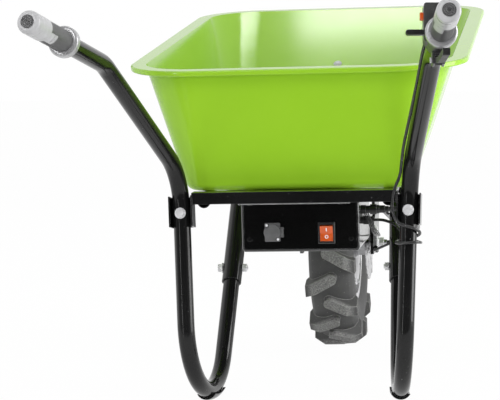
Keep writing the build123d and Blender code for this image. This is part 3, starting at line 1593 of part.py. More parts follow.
collar_ring = ring(grip_plane, grip_collar, grip_bore, 0, grip_collar_length)
with BuildPart() as right_collar:
    add(collar_ring)
    fillet(right_collar.faces().sort_by(grip_line)[-1].outer_wire().edges(), grip_collar_length / 3)
    fillet(right_collar.faces().sort_by(grip_line)[0].outer_wire().edges(), grip_collar_length / 6)

with BuildPart() as grip_collars:
    add([right_collar.part, mirrored(right_collar.part)])

write(grip_collars.part, "grip_collars")

groove = cap_face_depth / 4
with BuildPart() as right_end_cap:
    add(rod(grip_plane, cap_face_dia, sleeve_end, grip_length))
    with BuildSketch(grip_plane.offset(grip_length)):
        for share in (0.8, 0.5):
            Circle(cap_face_dia / 2 * share)
            Circle(cap_face_dia / 2 * share - groove, mode=Mode.SUBTRACT)
    extrude(amount=-groove, mode=Mode.SUBTRACT)

with BuildPart() as grip_end_caps:
    add([right_end_cap.part, mirrored(right_end_cap.part)])

write(grip_end_caps.part, "grip_end_caps")

# Thumb throttle: a ring on the tube in front of the collar, with a paddle that points inwards
throttle_front = -clear - throttle_length
with BuildPart() as throttle_lever:
    with BuildSketch(grip_plane.offset(throttle_front)):
        Circle(throttle_ring / 2)
        with Locations((-paddle_reach / 2, paddle_lift)):
            SlotOverall(paddle_reach, paddle_thick)
        Circle(grip_bore / 2, mode=Mode.SUBTRACT)
    extrude(amount=throttle_length)

write(throttle_lever.part, "throttle_lever")

# Control housing: a clamp ring with a tower that holds the push button
housing_back = throttle_front - clear
housing_front = housing_back - housing_length
button_back = housing_back - housing_length / 2
button_spot = grip_spot(-housing_half, button_lift, button_back)
button_plane = Plane(button_spot, x_dir=grip_axis, z_dir=-grip_plane.x_dir)
tower_width = 1.5 * housing_half
with BuildPart() as control_housing:
    with BuildSketch(grip_plane.offset(housing_front)):
        with Locations((tower_width / 2 - housing_half, housing_top / 2 - housing_ring / 8)):
            RectangleRounded(tower_width, housing_top + housing_ring / 4, housing_round)
        Circle(housing_ring / 2)
    extrude(amount=housing_length)
    add(rod(grip_plane, grip_bore, housing_front - snug, housing_back + snug), mode=Mode.SUBTRACT)
    with BuildSketch(button_plane):
        RectangleRounded(button_width + 2 * clear, button_height + 2 * clear, button_width / 4 + clear)
    extrude(amount=-button_depth - button_travel - clear, mode=Mode.SUBTRACT)

write(control_housing.part, "control_housing")

with BuildPart() as push_button:
    with BuildSketch(button_plane.offset(-button_depth)):
        RectangleRounded(button_width, button_height, button_width / 4)
    extrude(amount=button_depth + button_proud)
    button_face = push_button.faces().sort_by(Axis(button_plane.origin, button_plane.z_dir))[-1]
    fillet(button_face.edges(), button_width / 8)

write(push_button.part, "push_button")

# Brake perch: a clamp ring with two cheeks under it for the lever, and a cable adjuster on top
perch_back = housing_front - perch_gap
perch_front = perch_back - perch_length
pivot_back = (perch_back + perch_front) / 2
cheek_half = lever_width / 2 + clear + perch_cheek
lug_drop = lever_pivot_drop + lever_boss
adjuster_right = lever_width * 0.6
adjuster_up = tube_od / 2 + adjuster_dia / 2 + snug + bolt_slack
pivot_plane = Plane(grip_spot(0, -lever_pivot_drop, pivot_back), x_dir=grip_axis, z_dir=-grip_plane.x_dir)
adjuster_spot = grip_spot(adjuster_right, adjuster_up, perch_back)
adjuster_line = Plane(adjuster_spot, x_dir=grip_plane.x_dir, z_dir=-grip_axis)
with BuildPart() as brake_perch:
    with BuildSketch(grip_plane.offset(perch_front)):
        Circle(perch_ring / 2)
        with Locations((0, -lug_drop / 2)):
            RectangleRounded(2 * cheek_half, lug_drop, perch_cheek / 2)
    extrude(amount=perch_length)
    add(rod(adjuster_line, adjuster_dia + perch_gap, 0, perch_length))
    add(rod(adjuster_line, adjuster_dia, 0, perch_length + adjuster_length))
    add(rod(grip_plane, grip_bore, perch_front - 2 * adjuster_length, perch_back + snug), mode=Mode.SUBTRACT)
    with BuildSketch(grip_plane.offset(perch_front)):
        with Locations((0, -lever_pivot_drop - lever_boss)):
            Rectangle(lever_width + 2 * clear, 4 * lever_boss + 2 * clear)
    extrude(amount=perch_length, mode=Mode.SUBTRACT)
    add(rod(pivot_plane, lever_pivot_dia + 2 * snug, -2 * cheek_half, 2 * cheek_half), mode=Mode.SUBTRACT)

write(brake_perch.part, "brake_perch")

# Brake lever: a blade under the grip, on a pin through the perch
lever_spots = [
    Vector(0, 0, 0),
    Vector(lever_knee_reach - pivot_back, lever_pivot_drop - lever_knee_drop, 0),
    Vector(lever_reach - pivot_back, lever_pivot_drop - lever_tip_drop, 0),
]
with BuildPart() as brake_lever:
    with BuildSketch(pivot_plane.offset(-lever_width / 2)):
        Circle(lever_boss)
        for near, far in zip(lever_spots, lever_spots[1:]):
            run = far - near
            with Locations((near + far) * 0.5):
                SlotCenterToCenter(run.length, lever_thick, rotation=degrees(atan2(run.Y, run.X)))
        with Locations(lever_spots[-1]):
            Circle(lever_thick * 0.65)
    extrude(amount=lever_width)
    add(rod(pivot_plane, lever_pivot_dia + 2 * running_fit, -lever_width, lever_width), mode=Mode.SUBTRACT)

write(brake_lever.part, "brake_lever")

with BuildPart() as lever_pivot:
    add(rod(pivot_plane, lever_pivot_dia, -cheek_half - 1, cheek_half))
    add(rod(pivot_plane, lever_pivot_dia * 1.7, cheek_half, cheek_half + lever_pivot_dia / 2))

write(lever_pivot.part, "lever_pivot")


# Cables
def cable(route, diameter, name):
    """Cable along straight runs joined by arcs, each as large as its two runs allow."""
    points = [Vector(*spot) for spot in route]
    bends = []
    for before, corner, after in zip(points, points[1:], points[2:]):
        turn = (corner - before).get_angle(after - corner)
        shorter = min((corner - before).length, (after - corner).length)
        bends.append(0.45 * shorter / tan(radians(turn / 2)))
    with BuildLine() as path:
        FilletPolyline(*points, radius=bends)
    length = path.wire().length
    solid = swept(path.wire(), points[0], unit(points[1] - points[0]), diameter)
    full = length * pi * diameter ** 2 / 4
    print(name, "length", round(length), "bends", [round(bend, 1) for bend in bends],
          "volume share", round(solid.volume / full, 4))
    return solid, path.wire()


def leg_side(right, forward, up):
    """A spot beside the right rear upright, from its bolt."""
    return bracket_plane.from_local_coords(Vector(right, forward, up))


def slope_spot(right, up, back):
    """A spot beside the right handle's slope, from its lower bend."""
    return slope_plane.from_local_coords(Vector(right, up, back))


corner_up = unit(grip_plane.y_dir + slope_plane.y_dir)
bend_inward = unit(slope_axis - rear_up)
bend_share = 1 / cos(radians(slope_axis.get_angle(rear_up) / 2)) - 1
bend_middle = leg_top + bend_inward * leg_top_bend * bend_share
ride = tube_od / 2 + control_cable_dia / 2 + wrap_gap
hug = tube_od / 2 + control_cable_dia / 2 + clear
control_exit = gland_planes[1].origin + Vector(gland_length, 0, 0)
control_route = [
    grip_spot(-9, 22, housing_front),
    grip_spot(-9, 22, housing_front - 30),
    handle_corner + corner_up * 14 - grip_plane.x_dir * 14,
    slope_spot(-0.85 * hug, 0.6 * hug, 230),
    slope_spot(-hug - 1, 3, 70),
    bend_middle - slope_plane.x_dir * hug,
    leg_side(-23.5, -19, 32),
    leg_side(-27, -15.5, 4),
    leg_side(-ride, -ride, -22),
    leg_side(ride, -ride, -31),
    leg_side(ride, ride, -39),
    leg_side(-ride, ride, -47),
    leg_side(-ride, -ride, -55),
    leg_side(ride, -ride, -51),
    leg_side(ride + 2, ride + 4, -50),
    Vector(176, leg_y + 105, 262),
    Vector(148, leg_y + 182, 280),
    control_exit + Vector(16, 0, 0),
    control_exit,
]
control_cable, control_path = cable(control_route, control_cable_dia, "control_cable")
wrap_points = [control_path.position_at(step / 1200) for step in range(1201)]
apart = round(6 * control_cable_dia / (control_path.length / 1200))
least = min(
    (wrap_points[one] - wrap_points[two]).length
    for one in range(0, 1201, 2)
    for two in range(one + apart, 1201, 2)
)
print("control_cable least gap to itself", round(least - control_cable_dia, 2))
write(control_cable, "control_cable")

stop_face = Vector(arm_x, axle_y + stop_y - cable_stop, axle_z + arm_end_z)
brake_ride = tube_od / 2 + brake_cable_dia / 2 + wrap_gap
brake_route = [
    grip_spot(adjuster_right, adjuster_up, perch_front - adjuster_length),
    grip_spot(adjuster_right, adjuster_up, perch_front - adjuster_length - 20),
    handle_corner + corner_up * 19.5 + Vector(2, 0, 0),
    slope_spot(3, brake_ride, 230),
    leg_top - bend_inward * brake_ride * (1 + bend_share) + slope_plane.x_dir * 8,
    leg_side(14, 22.5, -16),
    front_end + Vector(34, 12, 14),
    stop_face + Vector(0, -30, 0),
    stop_face,
]
brake_cable = cable(brake_route, brake_cable_dia, "brake_cable")[0]
write(brake_cable, "brake_cable")

connector_end = connector_plane.origin + Vector(connector_length, 0, 0)
motor_route = [
    Vector(axle_half, axle_y, axle_z),
    Vector(axle_half + 18, axle_y, axle_z),
    Vector(axle_half + 33, axle_y - 9, axle_z + 5),
    Vector(axle_half + 39, axle_y - 26, axle_z + 13),
    Vector(axle_half + 38, axle_y - 60, axle_z + 27),
    Vector(axle_half + 30, axle_y - 110, axle_z + 46),
    Vector(122, leg_y + 262, 296),
    Vector(158, leg_y + 222, 303),
    Vector(182, leg_y + 196, 307),
    Vector(186, leg_y + 166, 308),
    connector_end + Vector(29, 0, 0),
    connector_end,
]
motor_cable = cable(motor_route, motor_cable_dia, "motor_cable")[0]
write(motor_cable, "motor_cable")
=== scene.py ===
import math

import bmesh
import bpy
from mathutils import Matrix, Vector
from mathutils.bvhtree import BVHTree


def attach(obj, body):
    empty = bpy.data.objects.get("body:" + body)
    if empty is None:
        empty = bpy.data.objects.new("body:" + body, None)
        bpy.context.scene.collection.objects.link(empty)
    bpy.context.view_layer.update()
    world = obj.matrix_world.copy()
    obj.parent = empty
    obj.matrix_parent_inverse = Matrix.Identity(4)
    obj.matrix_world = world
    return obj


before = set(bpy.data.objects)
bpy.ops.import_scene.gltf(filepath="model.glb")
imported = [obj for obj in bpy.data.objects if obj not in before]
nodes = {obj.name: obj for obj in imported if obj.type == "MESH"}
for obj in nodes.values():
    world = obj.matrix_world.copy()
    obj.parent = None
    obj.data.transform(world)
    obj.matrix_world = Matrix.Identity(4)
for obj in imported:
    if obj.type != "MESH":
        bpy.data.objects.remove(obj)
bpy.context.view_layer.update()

# Handle tubes: one long steel tube a side, bent into grip, slope, rear leg, foot and front leg.
# They are sprayed with thick black enamel with a faint ripple; paler edges are part wear, part painted
# highlight.


def put(tree, kind, **sockets):
    """A node with its plain sockets set; spaces in a socket's name are written as underscores."""
    node = tree.nodes.new(kind)
    for key, value in sockets.items():
        node.inputs[key.replace("_", " ")].default_value = value
    return node


def sums(tree, operation, first, second, clamp=False):
    """A maths node on two sockets or numbers."""
    node = tree.nodes.new("ShaderNodeMath")
    node.operation = operation
    node.use_clamp = clamp
    for entry, value in zip(node.inputs, (first, second)):
        if isinstance(value, (int, float)):
            entry.default_value = value
        else:
            tree.links.new(value, entry)
    return node.outputs["Value"]


def new_group(name, entries, results):
    """A shader group with named entries and results; its inputs, and the sockets to fill."""
    group = bpy.data.node_groups.new(name, "ShaderNodeTree")
    for key, value in entries.items():
        kind = "NodeSocketVector" if isinstance(value, tuple) else "NodeSocketFloat"
        group.interface.new_socket(name=key, in_out="INPUT", socket_type=kind).default_value = value
    for key, kind in results.items():
        group.interface.new_socket(name=key, in_out="OUTPUT", socket_type=kind)
    return group, group.nodes.new("NodeGroupInput").outputs, group.nodes.new("NodeGroupOutput").inputs


def grain_group(name, texture, height):
    """A skin: fine height, slow cloud and sparse specks, on the piece's own coordinates."""
    speck_gain = 30.0
    group, given, result = new_group(
        name,
        {"Stretch": (1.0, 1.0, 1.0), "Fine scale": 400.0, "Broad scale": 8.0, "Speck scale": 300.0,
         "Speck limit": 0.8},
        {"Fine": "NodeSocketFloat", "Broad": "NodeSocketFloat", "Specks": "NodeSocketFloat"},
    )
    where = put(group, "ShaderNodeTexCoord")
    drawn = put(group, "ShaderNodeMapping")
    fine = put(group, texture)
    broad = put(group, "ShaderNodeTexNoise", Detail=5.0, Roughness=0.6)
    speck = put(group, "ShaderNodeTexNoise", Detail=1.0, Roughness=0.4)
    links = group.links
    links.new(where.outputs["Object"], drawn.inputs["Vector"])
    links.new(given["Stretch"], drawn.inputs["Scale"])
    for node, key, source in ((fine, "Fine scale", drawn.outputs["Vector"]),
                              (broad, "Broad scale", drawn.outputs["Vector"]),
                              (speck, "Speck scale", where.outputs["Object"])):
        links.new(source, node.inputs["Vector"])
        links.new(given[key], node.inputs["Scale"])
    over = sums(group, "SUBTRACT", speck.outputs["Fac"], given["Speck limit"])
    links.new(fine.outputs[height], result["Fine"])
    links.new(broad.outputs["Fac"], result["Broad"])
    links.new(sums(group, "MULTIPLY", over, speck_gain, True), result["Specks"])
    return group


sprayed_skin = grain_group("sprayed skin", "ShaderNodeTexNoise", "Fac")

# Edge wear and painted light: where a corner turns, paint thins, and the colour laid there is mostly a
# painted highlight
edge_wear_and_painted_light, given, result = new_group(
    "edge wear and painted light",
    {"Radius": 0.0015, "Gain": 4.0, "Break up": 160.0},
    {"Edge": "NodeSocketFloat", "Normal": "NodeSocketVector"},
)
rounded = put(edge_wear_and_painted_light, "ShaderNodeBevel")
rounded.samples = 6
facing = put(edge_wear_and_painted_light, "ShaderNodeNewGeometry")
where = put(edge_wear_and_painted_light, "ShaderNodeTexCoord")
chips = put(edge_wear_and_painted_light, "ShaderNodeTexNoise", Detail=3.0, Roughness=0.6)
turn = put(edge_wear_and_painted_light, "ShaderNodeVectorMath")
turn.operation = "DOT_PRODUCT"
edge_wear_and_painted_light.links.new(given["Radius"], rounded.inputs["Radius"])
edge_wear_and_painted_light.links.new(where.outputs["Object"], chips.inputs["Vector"])
edge_wear_and_painted_light.links.new(given["Break up"], chips.inputs["Scale"])
edge_wear_and_painted_light.links.new(rounded.outputs["Normal"], turn.inputs[0])
edge_wear_and_painted_light.links.new(facing.outputs["Normal"], turn.inputs[1])
bent = sums(edge_wear_and_painted_light, "SUBTRACT", 1.0, turn.outputs["Value"], True)
raised = sums(edge_wear_and_painted_light, "MULTIPLY", bent, given["Gain"])
share = sums(edge_wear_and_painted_light, "MULTIPLY", raised, chips.outputs["Fac"], True)
edge_wear_and_painted_light.links.new(share, result["Edge"])
edge_wear_and_painted_light.links.new(rounded.outputs["Normal"], result["Normal"])

# Settled dust: thicker on what faces up, in clouds
settled_dust, given, result = new_group(
    "settled dust", {"Scale": 30.0, "Least": 0.1}, {"Dust": "NodeSocketFloat"},
)
facing = put(settled_dust, "ShaderNodeNewGeometry")
split = put(settled_dust, "ShaderNodeSeparateXYZ")
where = put(settled_dust, "ShaderNodeTexCoord")
cloud = put(settled_dust, "ShaderNodeTexNoise", Detail=6.0, Roughness=0.65)
settled_dust.links.new(facing.outputs["Normal"], split.inputs["Vector"])
settled_dust.links.new(where.outputs["Object"], cloud.inputs["Vector"])
settled_dust.links.new(given["Scale"], cloud.inputs["Scale"])
upper = sums(settled_dust, "MAXIMUM", split.outputs["Z"], given["Least"])
settled_dust.links.new(sums(settled_dust, "MULTIPLY", upper, cloud.outputs["Fac"], True), result["Dust"])


def grey(level):
    """A neutral colour, with a touch more blue."""
    blue_share = 1.02
    return (level, level, level * blue_share, 1.0)


def finish(name, skin, tones, sheen, bump, specks=None, edge=None, dust=None, **sockets):
    """A finish: tone and sheen drift with the skin's clouds, its grain is the bump, and layers lie on it.

    skin is a group and its values, tones two colours, sheen two roughnesses, bump a strength and a depth;
    specks is a colour, and edge and dust are each a colour, an amount and the group's values."""
    cloud_low, cloud_high = 0.3, 0.7
    material = bpy.data.materials.new(name)
    material.use_nodes = True
    tree = material.node_tree
    shader = tree.nodes["Principled BSDF"]

    def placed(group, values):
        node = tree.nodes.new("ShaderNodeGroup")
        node.node_tree = group
        for key, value in values.items():
            node.inputs[key.replace("_", " ")].default_value = value
        return node.outputs

    grain = placed(*skin)
    tone = tree.nodes.new("ShaderNodeValToRGB")
    for stop, position, colour in zip(tone.color_ramp.elements, (cloud_low, cloud_high), tones):
        stop.position = position
        stop.color = colour
    tree.links.new(grain["Broad"], tone.inputs["Fac"])
    colour = tone.outputs["Color"]
    bumps = put(tree, "ShaderNodeBump", Strength=bump[0], Distance=bump[1])
    tree.links.new(grain["Fine"], bumps.inputs["Height"])
    layers = [(grain["Specks"], specks, 1.0)] if specks else []
    # The edge layer is painted light: mostly a painted highlight along turning edges, partly paint wear.
    if edge:
        wear_and_painted_light = placed(edge_wear_and_painted_light, edge[2])
        tree.links.new(wear_and_painted_light["Normal"], bumps.inputs["Normal"])
        layers.append((wear_and_painted_light["Edge"], edge[0], edge[1]))
    if dust:
        layers.append((placed(settled_dust, dust[2])["Dust"], dust[0], dust[1]))
    for mask, over, amount in layers:
        mix = tree.nodes.new("ShaderNodeMix")
        mix.data_type = "RGBA"
        tree.links.new(sums(tree, "MULTIPLY", mask, amount, True), mix.inputs["Factor"])
        tree.links.new(colour, mix.inputs["A"])
        mix.inputs["B"].default_value = over
        colour = mix.outputs["Result"]
    gloss = put(tree, "ShaderNodeMapRange", From_Min=cloud_low, From_Max=cloud_high, To_Min=sheen[0],
                To_Max=sheen[1])
    tree.links.new(grain["Broad"], gloss.inputs["Value"])
    tree.links.new(colour, shader.inputs["Base Color"])
    tree.links.new(gloss.outputs["Result"], shader.inputs["Roughness"])
    tree.links.new(bumps.outputs["Normal"], shader.inputs["Normal"])
    for key, value in sockets.items():
        shader.inputs[key.replace("_", " ")].default_value = value
    return material


def dress(material, *names):
    """Gives a finish to pieces that keep their own solid."""
    for name in names:
        slots = nodes[name].data.materials
        slots.clear()
        slots.append(material)


black_enamel = finish(
    "black enamel",
    (sprayed_skin, {"Fine_scale": 380.0, "Broad_scale": 7.0, "Speck_scale": 330.0, "Speck_limit": 0.775}),
    (grey(0.0042), grey(0.0095)), (0.10, 0.20), (0.05, 0.0004), specks=grey(0.15),
    edge=(grey(0.22), 0.8, {"Radius": 0.0012, "Gain": 3.0}), IOR=1.32, Coat_Weight=0.1, Coat_Roughness=0.05,
)
dress(black_enamel, "left_handle_tube", "right_handle_tube", "left_foot_plate", "right_foot_plate")

# Welded frame: brackets, sleeves, rails, cross bars, tray hoop and fork plates, cut from tube, bar and plate.
# They are welded up and sprayed with the handles' black enamel, paler edges part wear, part painted
# highlight.
dress(black_enamel, "left_leg_bracket", "right_leg_bracket", "left_leg_sleeve", "right_leg_sleeve",
      "left_rail", "right_rail", "rear_cross_bar", "middle_cross_bar", "front_cross_bar", "front_hoop",
      "left_fork_plate", "right_fork_plate")

# Weld beads: short runs of filler where bars and plates meet brackets and rails, in overlapping drops.
# They are steel under the same enamel; each drop is one instance along the seam.


def new_growth(name, entries):
    """A geometry tree with named inputs and one result; with it come its inputs and the result to fill."""
    growth = bpy.data.node_groups.new(name, "GeometryNodeTree")
    growth.interface.new_socket(name="Geometry", in_out="INPUT", socket_type="NodeSocketGeometry")
    for key, value in entries.items():
        kind = "NodeSocketInt" if isinstance(value, int) else "NodeSocketFloat"
        growth.interface.new_socket(name=key, in_out="INPUT", socket_type=kind).default_value = value
    growth.interface.new_socket(name="Geometry", in_out="OUTPUT", socket_type="NodeSocketGeometry")
    return growth, growth.nodes.new("NodeGroupInput").outputs, growth.nodes.new("NodeGroupOutput").inputs


def close_growth(growth, instances, material, result):
    """The end of a growth: instances made real, smoothed and given their finish."""
    real = put(growth, "GeometryNodeRealizeInstances")
    smooth = put(growth, "GeometryNodeSetShadeSmooth")
    coated = put(growth, "GeometryNodeSetMaterial", Material=material)
    growth.links.new(instances, real.inputs["Geometry"])
    growth.links.new(real.outputs["Geometry"], smooth.inputs["Geometry"])
    growth.links.new(smooth.outputs["Geometry"], coated.inputs["Geometry"])
    growth.links.new(coated.outputs["Geometry"], result["Geometry"])


def grown(growth, mesh, values):
    """The plain mesh that a growth makes from a mesh with its own values."""
    holder = bpy.data.objects.new(growth.name, mesh)
    bpy.context.scene.collection.objects.link(holder)
    modifier = holder.modifiers.new(growth.name, "NODES")
    modifier.node_group = growth
    for entry in growth.interface.items_tree:
        if entry.in_out == "INPUT" and entry.name in values:
            modifier[entry.identifier] = values[entry.name]
    bpy.context.view_layer.update()
    made = bpy.data.meshes.new_from_object(holder.evaluated_get(bpy.context.evaluated_depsgraph_get()))
    holder.modifiers.remove(modifier)
    bpy.data.objects.remove(holder)
    return made


def piece(name, mesh, body, material=None):
    """A finished piece that rides on a body and takes the finish it is given."""
    if material:
        mesh.materials.append(material)
    made = bpy.data.objects.new(name, mesh)
    bpy.context.scene.collection.objects.link(made)
    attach(made, body)
    return made


bead = {"Pitch": 0.0022, "Width": 0.0046, "Seed": 7}
drop_least, drop_most = 0.85, 1.1
weld_growth, given, result = new_growth("weld bead", bead)
seam = put(weld_growth, "GeometryNodeMeshToCurve")
steps = put(weld_growth, "GeometryNodeResampleCurve")
steps.mode = "LENGTH"
along = put(weld_growth, "GeometryNodeInputTangent")
turned = put(weld_growth, "FunctionNodeAlignRotationToVector")
turned.axis = "X"
drop = put(weld_growth, "GeometryNodeMeshIcoSphere", Radius=0.5, Subdivisions=2)
uneven = put(weld_growth, "FunctionNodeRandomValue")
uneven.data_type = "FLOAT"
uneven.inputs[2].default_value = drop_least
uneven.inputs[3].default_value = drop_most
spread = put(weld_growth, "GeometryNodeInstanceOnPoints")
width = put(weld_growth, "ShaderNodeMath")
width.operation = "MULTIPLY"
links = weld_growth.links
links.new(given["Geometry"], seam.inputs["Mesh"])
links.new(seam.outputs["Curve"], steps.inputs["Curve"])
links.new(given["Pitch"], steps.inputs["Length"])
links.new(along.outputs["Tangent"], turned.inputs["Vector"])
links.new(given["Seed"], uneven.inputs["Seed"])
links.new(given["Width"], width.inputs[0])
links.new(uneven.outputs[1], width.inputs[1])
links.new(steps.outputs["Curve"], spread.inputs["Points"])
links.new(drop.outputs["Mesh"], spread.inputs["Instance"])
links.new(turned.outputs["Rotation"], spread.inputs["Rotation"])
links.new(width.outputs["Value"], spread.inputs["Scale"])
close_growth(weld_growth, spread.outputs["Instances"], black_enamel, result)

bracket_seam = ((0.1670, -0.1646, 0.3475), (0.1665, -0.1646, 0.3342), (0.1665, -0.1500, 0.3338),
                (0.1665, -0.1360, 0.3338))
rail_x, rail_radius = 0.150, 0.0112
bar_faces = ((-0.0246, 0.3487), (0.0006, 0.3514))
deck_tilt = math.radians(6.1)
deck_y, deck_z = -0.1445, 0.346
fork_drop, fork_ends, fork_sides = 0.0212, (0.573, 0.715), (0.0686, 0.0754)
seams = []
for side in (-1, 1):
    seams.append([(side * x, y, z) for x, y, z in bracket_seam])
    for face_y, middle_z in bar_faces:
        turns = [math.radians(step) for step in range(-80, 50, 10)]
        seams.append([(side * (rail_x - rail_radius * math.cos(turn)), face_y,
                       middle_z + rail_radius * math.sin(turn)) for turn in turns])
    for fork_x in fork_sides:
        seams.append([(side * fork_x, deck_y + run * math.cos(deck_tilt) + fork_drop * math.sin(deck_tilt),
                       deck_z + run * math.sin(deck_tilt) - fork_drop * math.cos(deck_tilt))
                      for run in fork_ends])
spots = [spot for run in seams for spot in run]
starts = [sum(len(run) for run in seams[:count]) for count in range(len(seams))]
lines = [(start + step, start + step + 1)
         for start, run in zip(starts, seams) for step in range(len(run) - 1)]
seam_lines = bpy.data.meshes.new("seams")
seam_lines.from_pydata(spots, lines, [])
piece("weld_beads", grown(weld_growth, seam_lines, bead), "frame")

# Frame bolts and axle nuts: flanged hexagon bolts and nuts, cold formed and zinc plated.
# The plating is bright, with a soft cloudy sheen and fine tool marks; its edges carry a painted highlight.
zinc_plate = finish(
    "zinc plate", (sprayed_skin, {"Stretch": (1.0, 1.0, 3.0), "Fine_scale": 900.0, "Broad_scale": 60.0}),
    (grey(0.50), grey(0.64)), (0.24, 0.38), (0.10, 0.0002),
    edge=(grey(1.0), 1.0, {"Radius": 0.0022, "Gain": 6.0, "Break_up": 500.0}), Metallic=0.4,
)
dress(zinc_plate, "frame_bolts", "axle_nuts", "lever_pivot", "brake_arm")

# Tray: one deep pressing of sheet steel with a flat flange and a rolled edge.
# It has a bright lime enamel, baked on, with a soft sheen, a faint ripple and a little dust inside.
# A pale painted highlight lies along the tray's rolled edge and corners.
lime_enamel = finish(
    "lime enamel",
    (sprayed_skin, {"Fine_scale": 260.0, "Broad_scale": 4.0, "Speck_scale": 300.0, "Speck_limit": 0.80}),
    ((0.262, 0.512, 0.021, 1), (0.292, 0.545, 0.027, 1)), (0.10, 0.16), (0.03, 0.0003),
    specks=(0.34, 0.62, 0.10, 1),
    edge=((0.75, 0.90, 0.45, 1), 0.8, {"Radius": 0.002, "Gain": 4.0}),
    dust=((0.42, 0.62, 0.16, 1), 0.10, {"Scale": 9.0, "Least": 0.0}), IOR=1.4,
)
dress(lime_enamel, "tray")
dress(zinc_plate, "tray_bolts")

# Tyre and inner tube: a small tractor tyre with slanted lugs, moulded in black rubber, over a butyl tube.
# Use has dusted the rubber grey; paler lug tops and edges are part scuffing, part painted highlight.
tyre_rubber = finish(
    "tyre rubber",
    (sprayed_skin, {"Fine_scale": 700.0, "Broad_scale": 26.0, "Speck_scale": 420.0, "Speck_limit": 0.74}),
    (grey(0.026), grey(0.052)), (0.55, 0.75), (0.30, 0.0008), specks=(0.24, 0.23, 0.21, 1),
    edge=((0.50, 0.50, 0.48, 1), 1.0, {"Radius": 0.003, "Gain": 3.5, "Break_up": 120.0}),
    dust=((0.30, 0.29, 0.27, 1), 0.15, {"Scale": 34.0, "Least": 0.30}),
)
wheel_y, wheel_z = 0.4975, 0.195
lug_foot, lug_top = 0.184, 0.191
tree = tyre_rubber.node_tree
shader = tree.nodes["Principled BSDF"]
where = put(tree, "ShaderNodeTexCoord")
flat = put(tree, "ShaderNodeVectorMath")
flat.operation = "MULTIPLY"
flat.inputs[1].default_value = (0.0, 1.0, 1.0)
reach = put(tree, "ShaderNodeVectorMath")
reach.operation = "DISTANCE"
reach.inputs[1].default_value = (0.0, wheel_y, wheel_z)
# Lug tops, found by their distance from the axle, are painted paler in patches: part scuffing, part painted
# light.
tops = put(tree, "ShaderNodeMapRange", From_Min=lug_foot, From_Max=lug_top)
scuff_and_light_noise = put(tree, "ShaderNodeTexNoise", Scale=420.0, Detail=4.0, Roughness=0.7)
patches = put(tree, "ShaderNodeMapRange", From_Min=0.40, From_Max=0.62, To_Min=0.15, To_Max=0.95)
wear_and_painted_light = tree.nodes.new("ShaderNodeMix")
wear_and_painted_light.data_type = "RGBA"
wear_and_painted_light.inputs["B"].default_value = (0.25, 0.25, 0.245, 1)
tree.links.new(where.outputs["Object"], flat.inputs[0])
tree.links.new(flat.outputs["Vector"], reach.inputs[0])
tree.links.new(reach.outputs["Value"], tops.inputs["Value"])
tree.links.new(where.outputs["Object"], scuff_and_light_noise.inputs["Vector"])
tree.links.new(scuff_and_light_noise.outputs["Fac"], patches.inputs["Value"])
scuffed_and_lit_tops = sums(tree, "MULTIPLY", tops.outputs["Result"], patches.outputs["Result"])
tree.links.new(scuffed_and_lit_tops, wear_and_painted_light.inputs["Factor"])
tree.links.new(shader.inputs["Base Color"].links[0].from_socket, wear_and_painted_light.inputs["A"])
tree.links.new(wear_and_painted_light.outputs["Result"], shader.inputs["Base Color"])
dress(tyre_rubber, "tyre")
butyl_rubber = finish(
    "butyl rubber", (sprayed_skin, {"Fine_scale": 500.0, "Broad_scale": 20.0}),
    (grey(0.022), grey(0.040)), (0.45, 0.60), (0.12, 0.0004),
    dust=((0.35, 0.34, 0.32, 1), 0.3, {"Scale": 40.0, "Least": 0.3}),
)
dress(butyl_rubber, "inner_tube")

# Hub motor: a cast aluminium rim and two covers on bearings, turned on their faces, with magnets inside.
# The stator is a stack of thin steel sheets with a copper coil on each tooth, pressed on the axle.
cast_skin = grain_group("cast skin", "ShaderNodeTexVoronoi", "Distance")
# The aluminium's edges are painted near white, a painted highlight.
cast_aluminium = finish(
    "cast aluminium",
    (cast_skin, {"Fine_scale": 900.0, "Broad_scale": 30.0, "Speck_scale": 500.0, "Speck_limit": 0.73}),
    (grey(0.60), grey(0.74)), (0.28, 0.42), (0.10, 0.0003), specks=grey(0.35),
    edge=(grey(0.92), 0.6, {"Radius": 0.0012, "Gain": 3.0}),
    dust=((0.45, 0.43, 0.40, 1), 0.25, {"Scale": 30.0, "Least": 0.2}), Metallic=0.85,
)
dress(cast_aluminium, "motor_rim", "left_motor_cover", "right_motor_cover")

# Turned rings: the marks of a lathe or a winding, round the axle
turned_rings, given, result = new_group(
    "turned rings", {"Centre": (0.0, -wheel_y, -wheel_z), "Ring scale": 1500.0, "Broad scale": 40.0},
    {"Fine": "NodeSocketFloat", "Broad": "NodeSocketFloat"},
)
where = put(turned_rings, "ShaderNodeTexCoord")
about = put(turned_rings, "ShaderNodeMapping")
flat = put(turned_rings, "ShaderNodeVectorMath")
flat.operation = "MULTIPLY"
flat.inputs[1].default_value = (0.0, 1.0, 1.0)
radius = put(turned_rings, "ShaderNodeVectorMath")
radius.operation = "LENGTH"
ring = put(turned_rings, "ShaderNodeTexNoise", Detail=2.0)
ring.noise_dimensions = "1D"
broad = put(turned_rings, "ShaderNodeTexNoise", Detail=4.0)
links = turned_rings.links
links.new(where.outputs["Object"], about.inputs["Vector"])
links.new(given["Centre"], about.inputs["Location"])
links.new(about.outputs["Vector"], flat.inputs[0])
links.new(flat.outputs["Vector"], radius.inputs[0])
links.new(radius.outputs["Value"], ring.inputs["W"])
links.new(given["Ring scale"], ring.inputs["Scale"])
links.new(where.outputs["Object"], broad.inputs["Vector"])
links.new(given["Broad scale"], broad.inputs["Scale"])
links.new(ring.outputs["Fac"], result["Fine"])
links.new(broad.outputs["Fac"], result["Broad"])
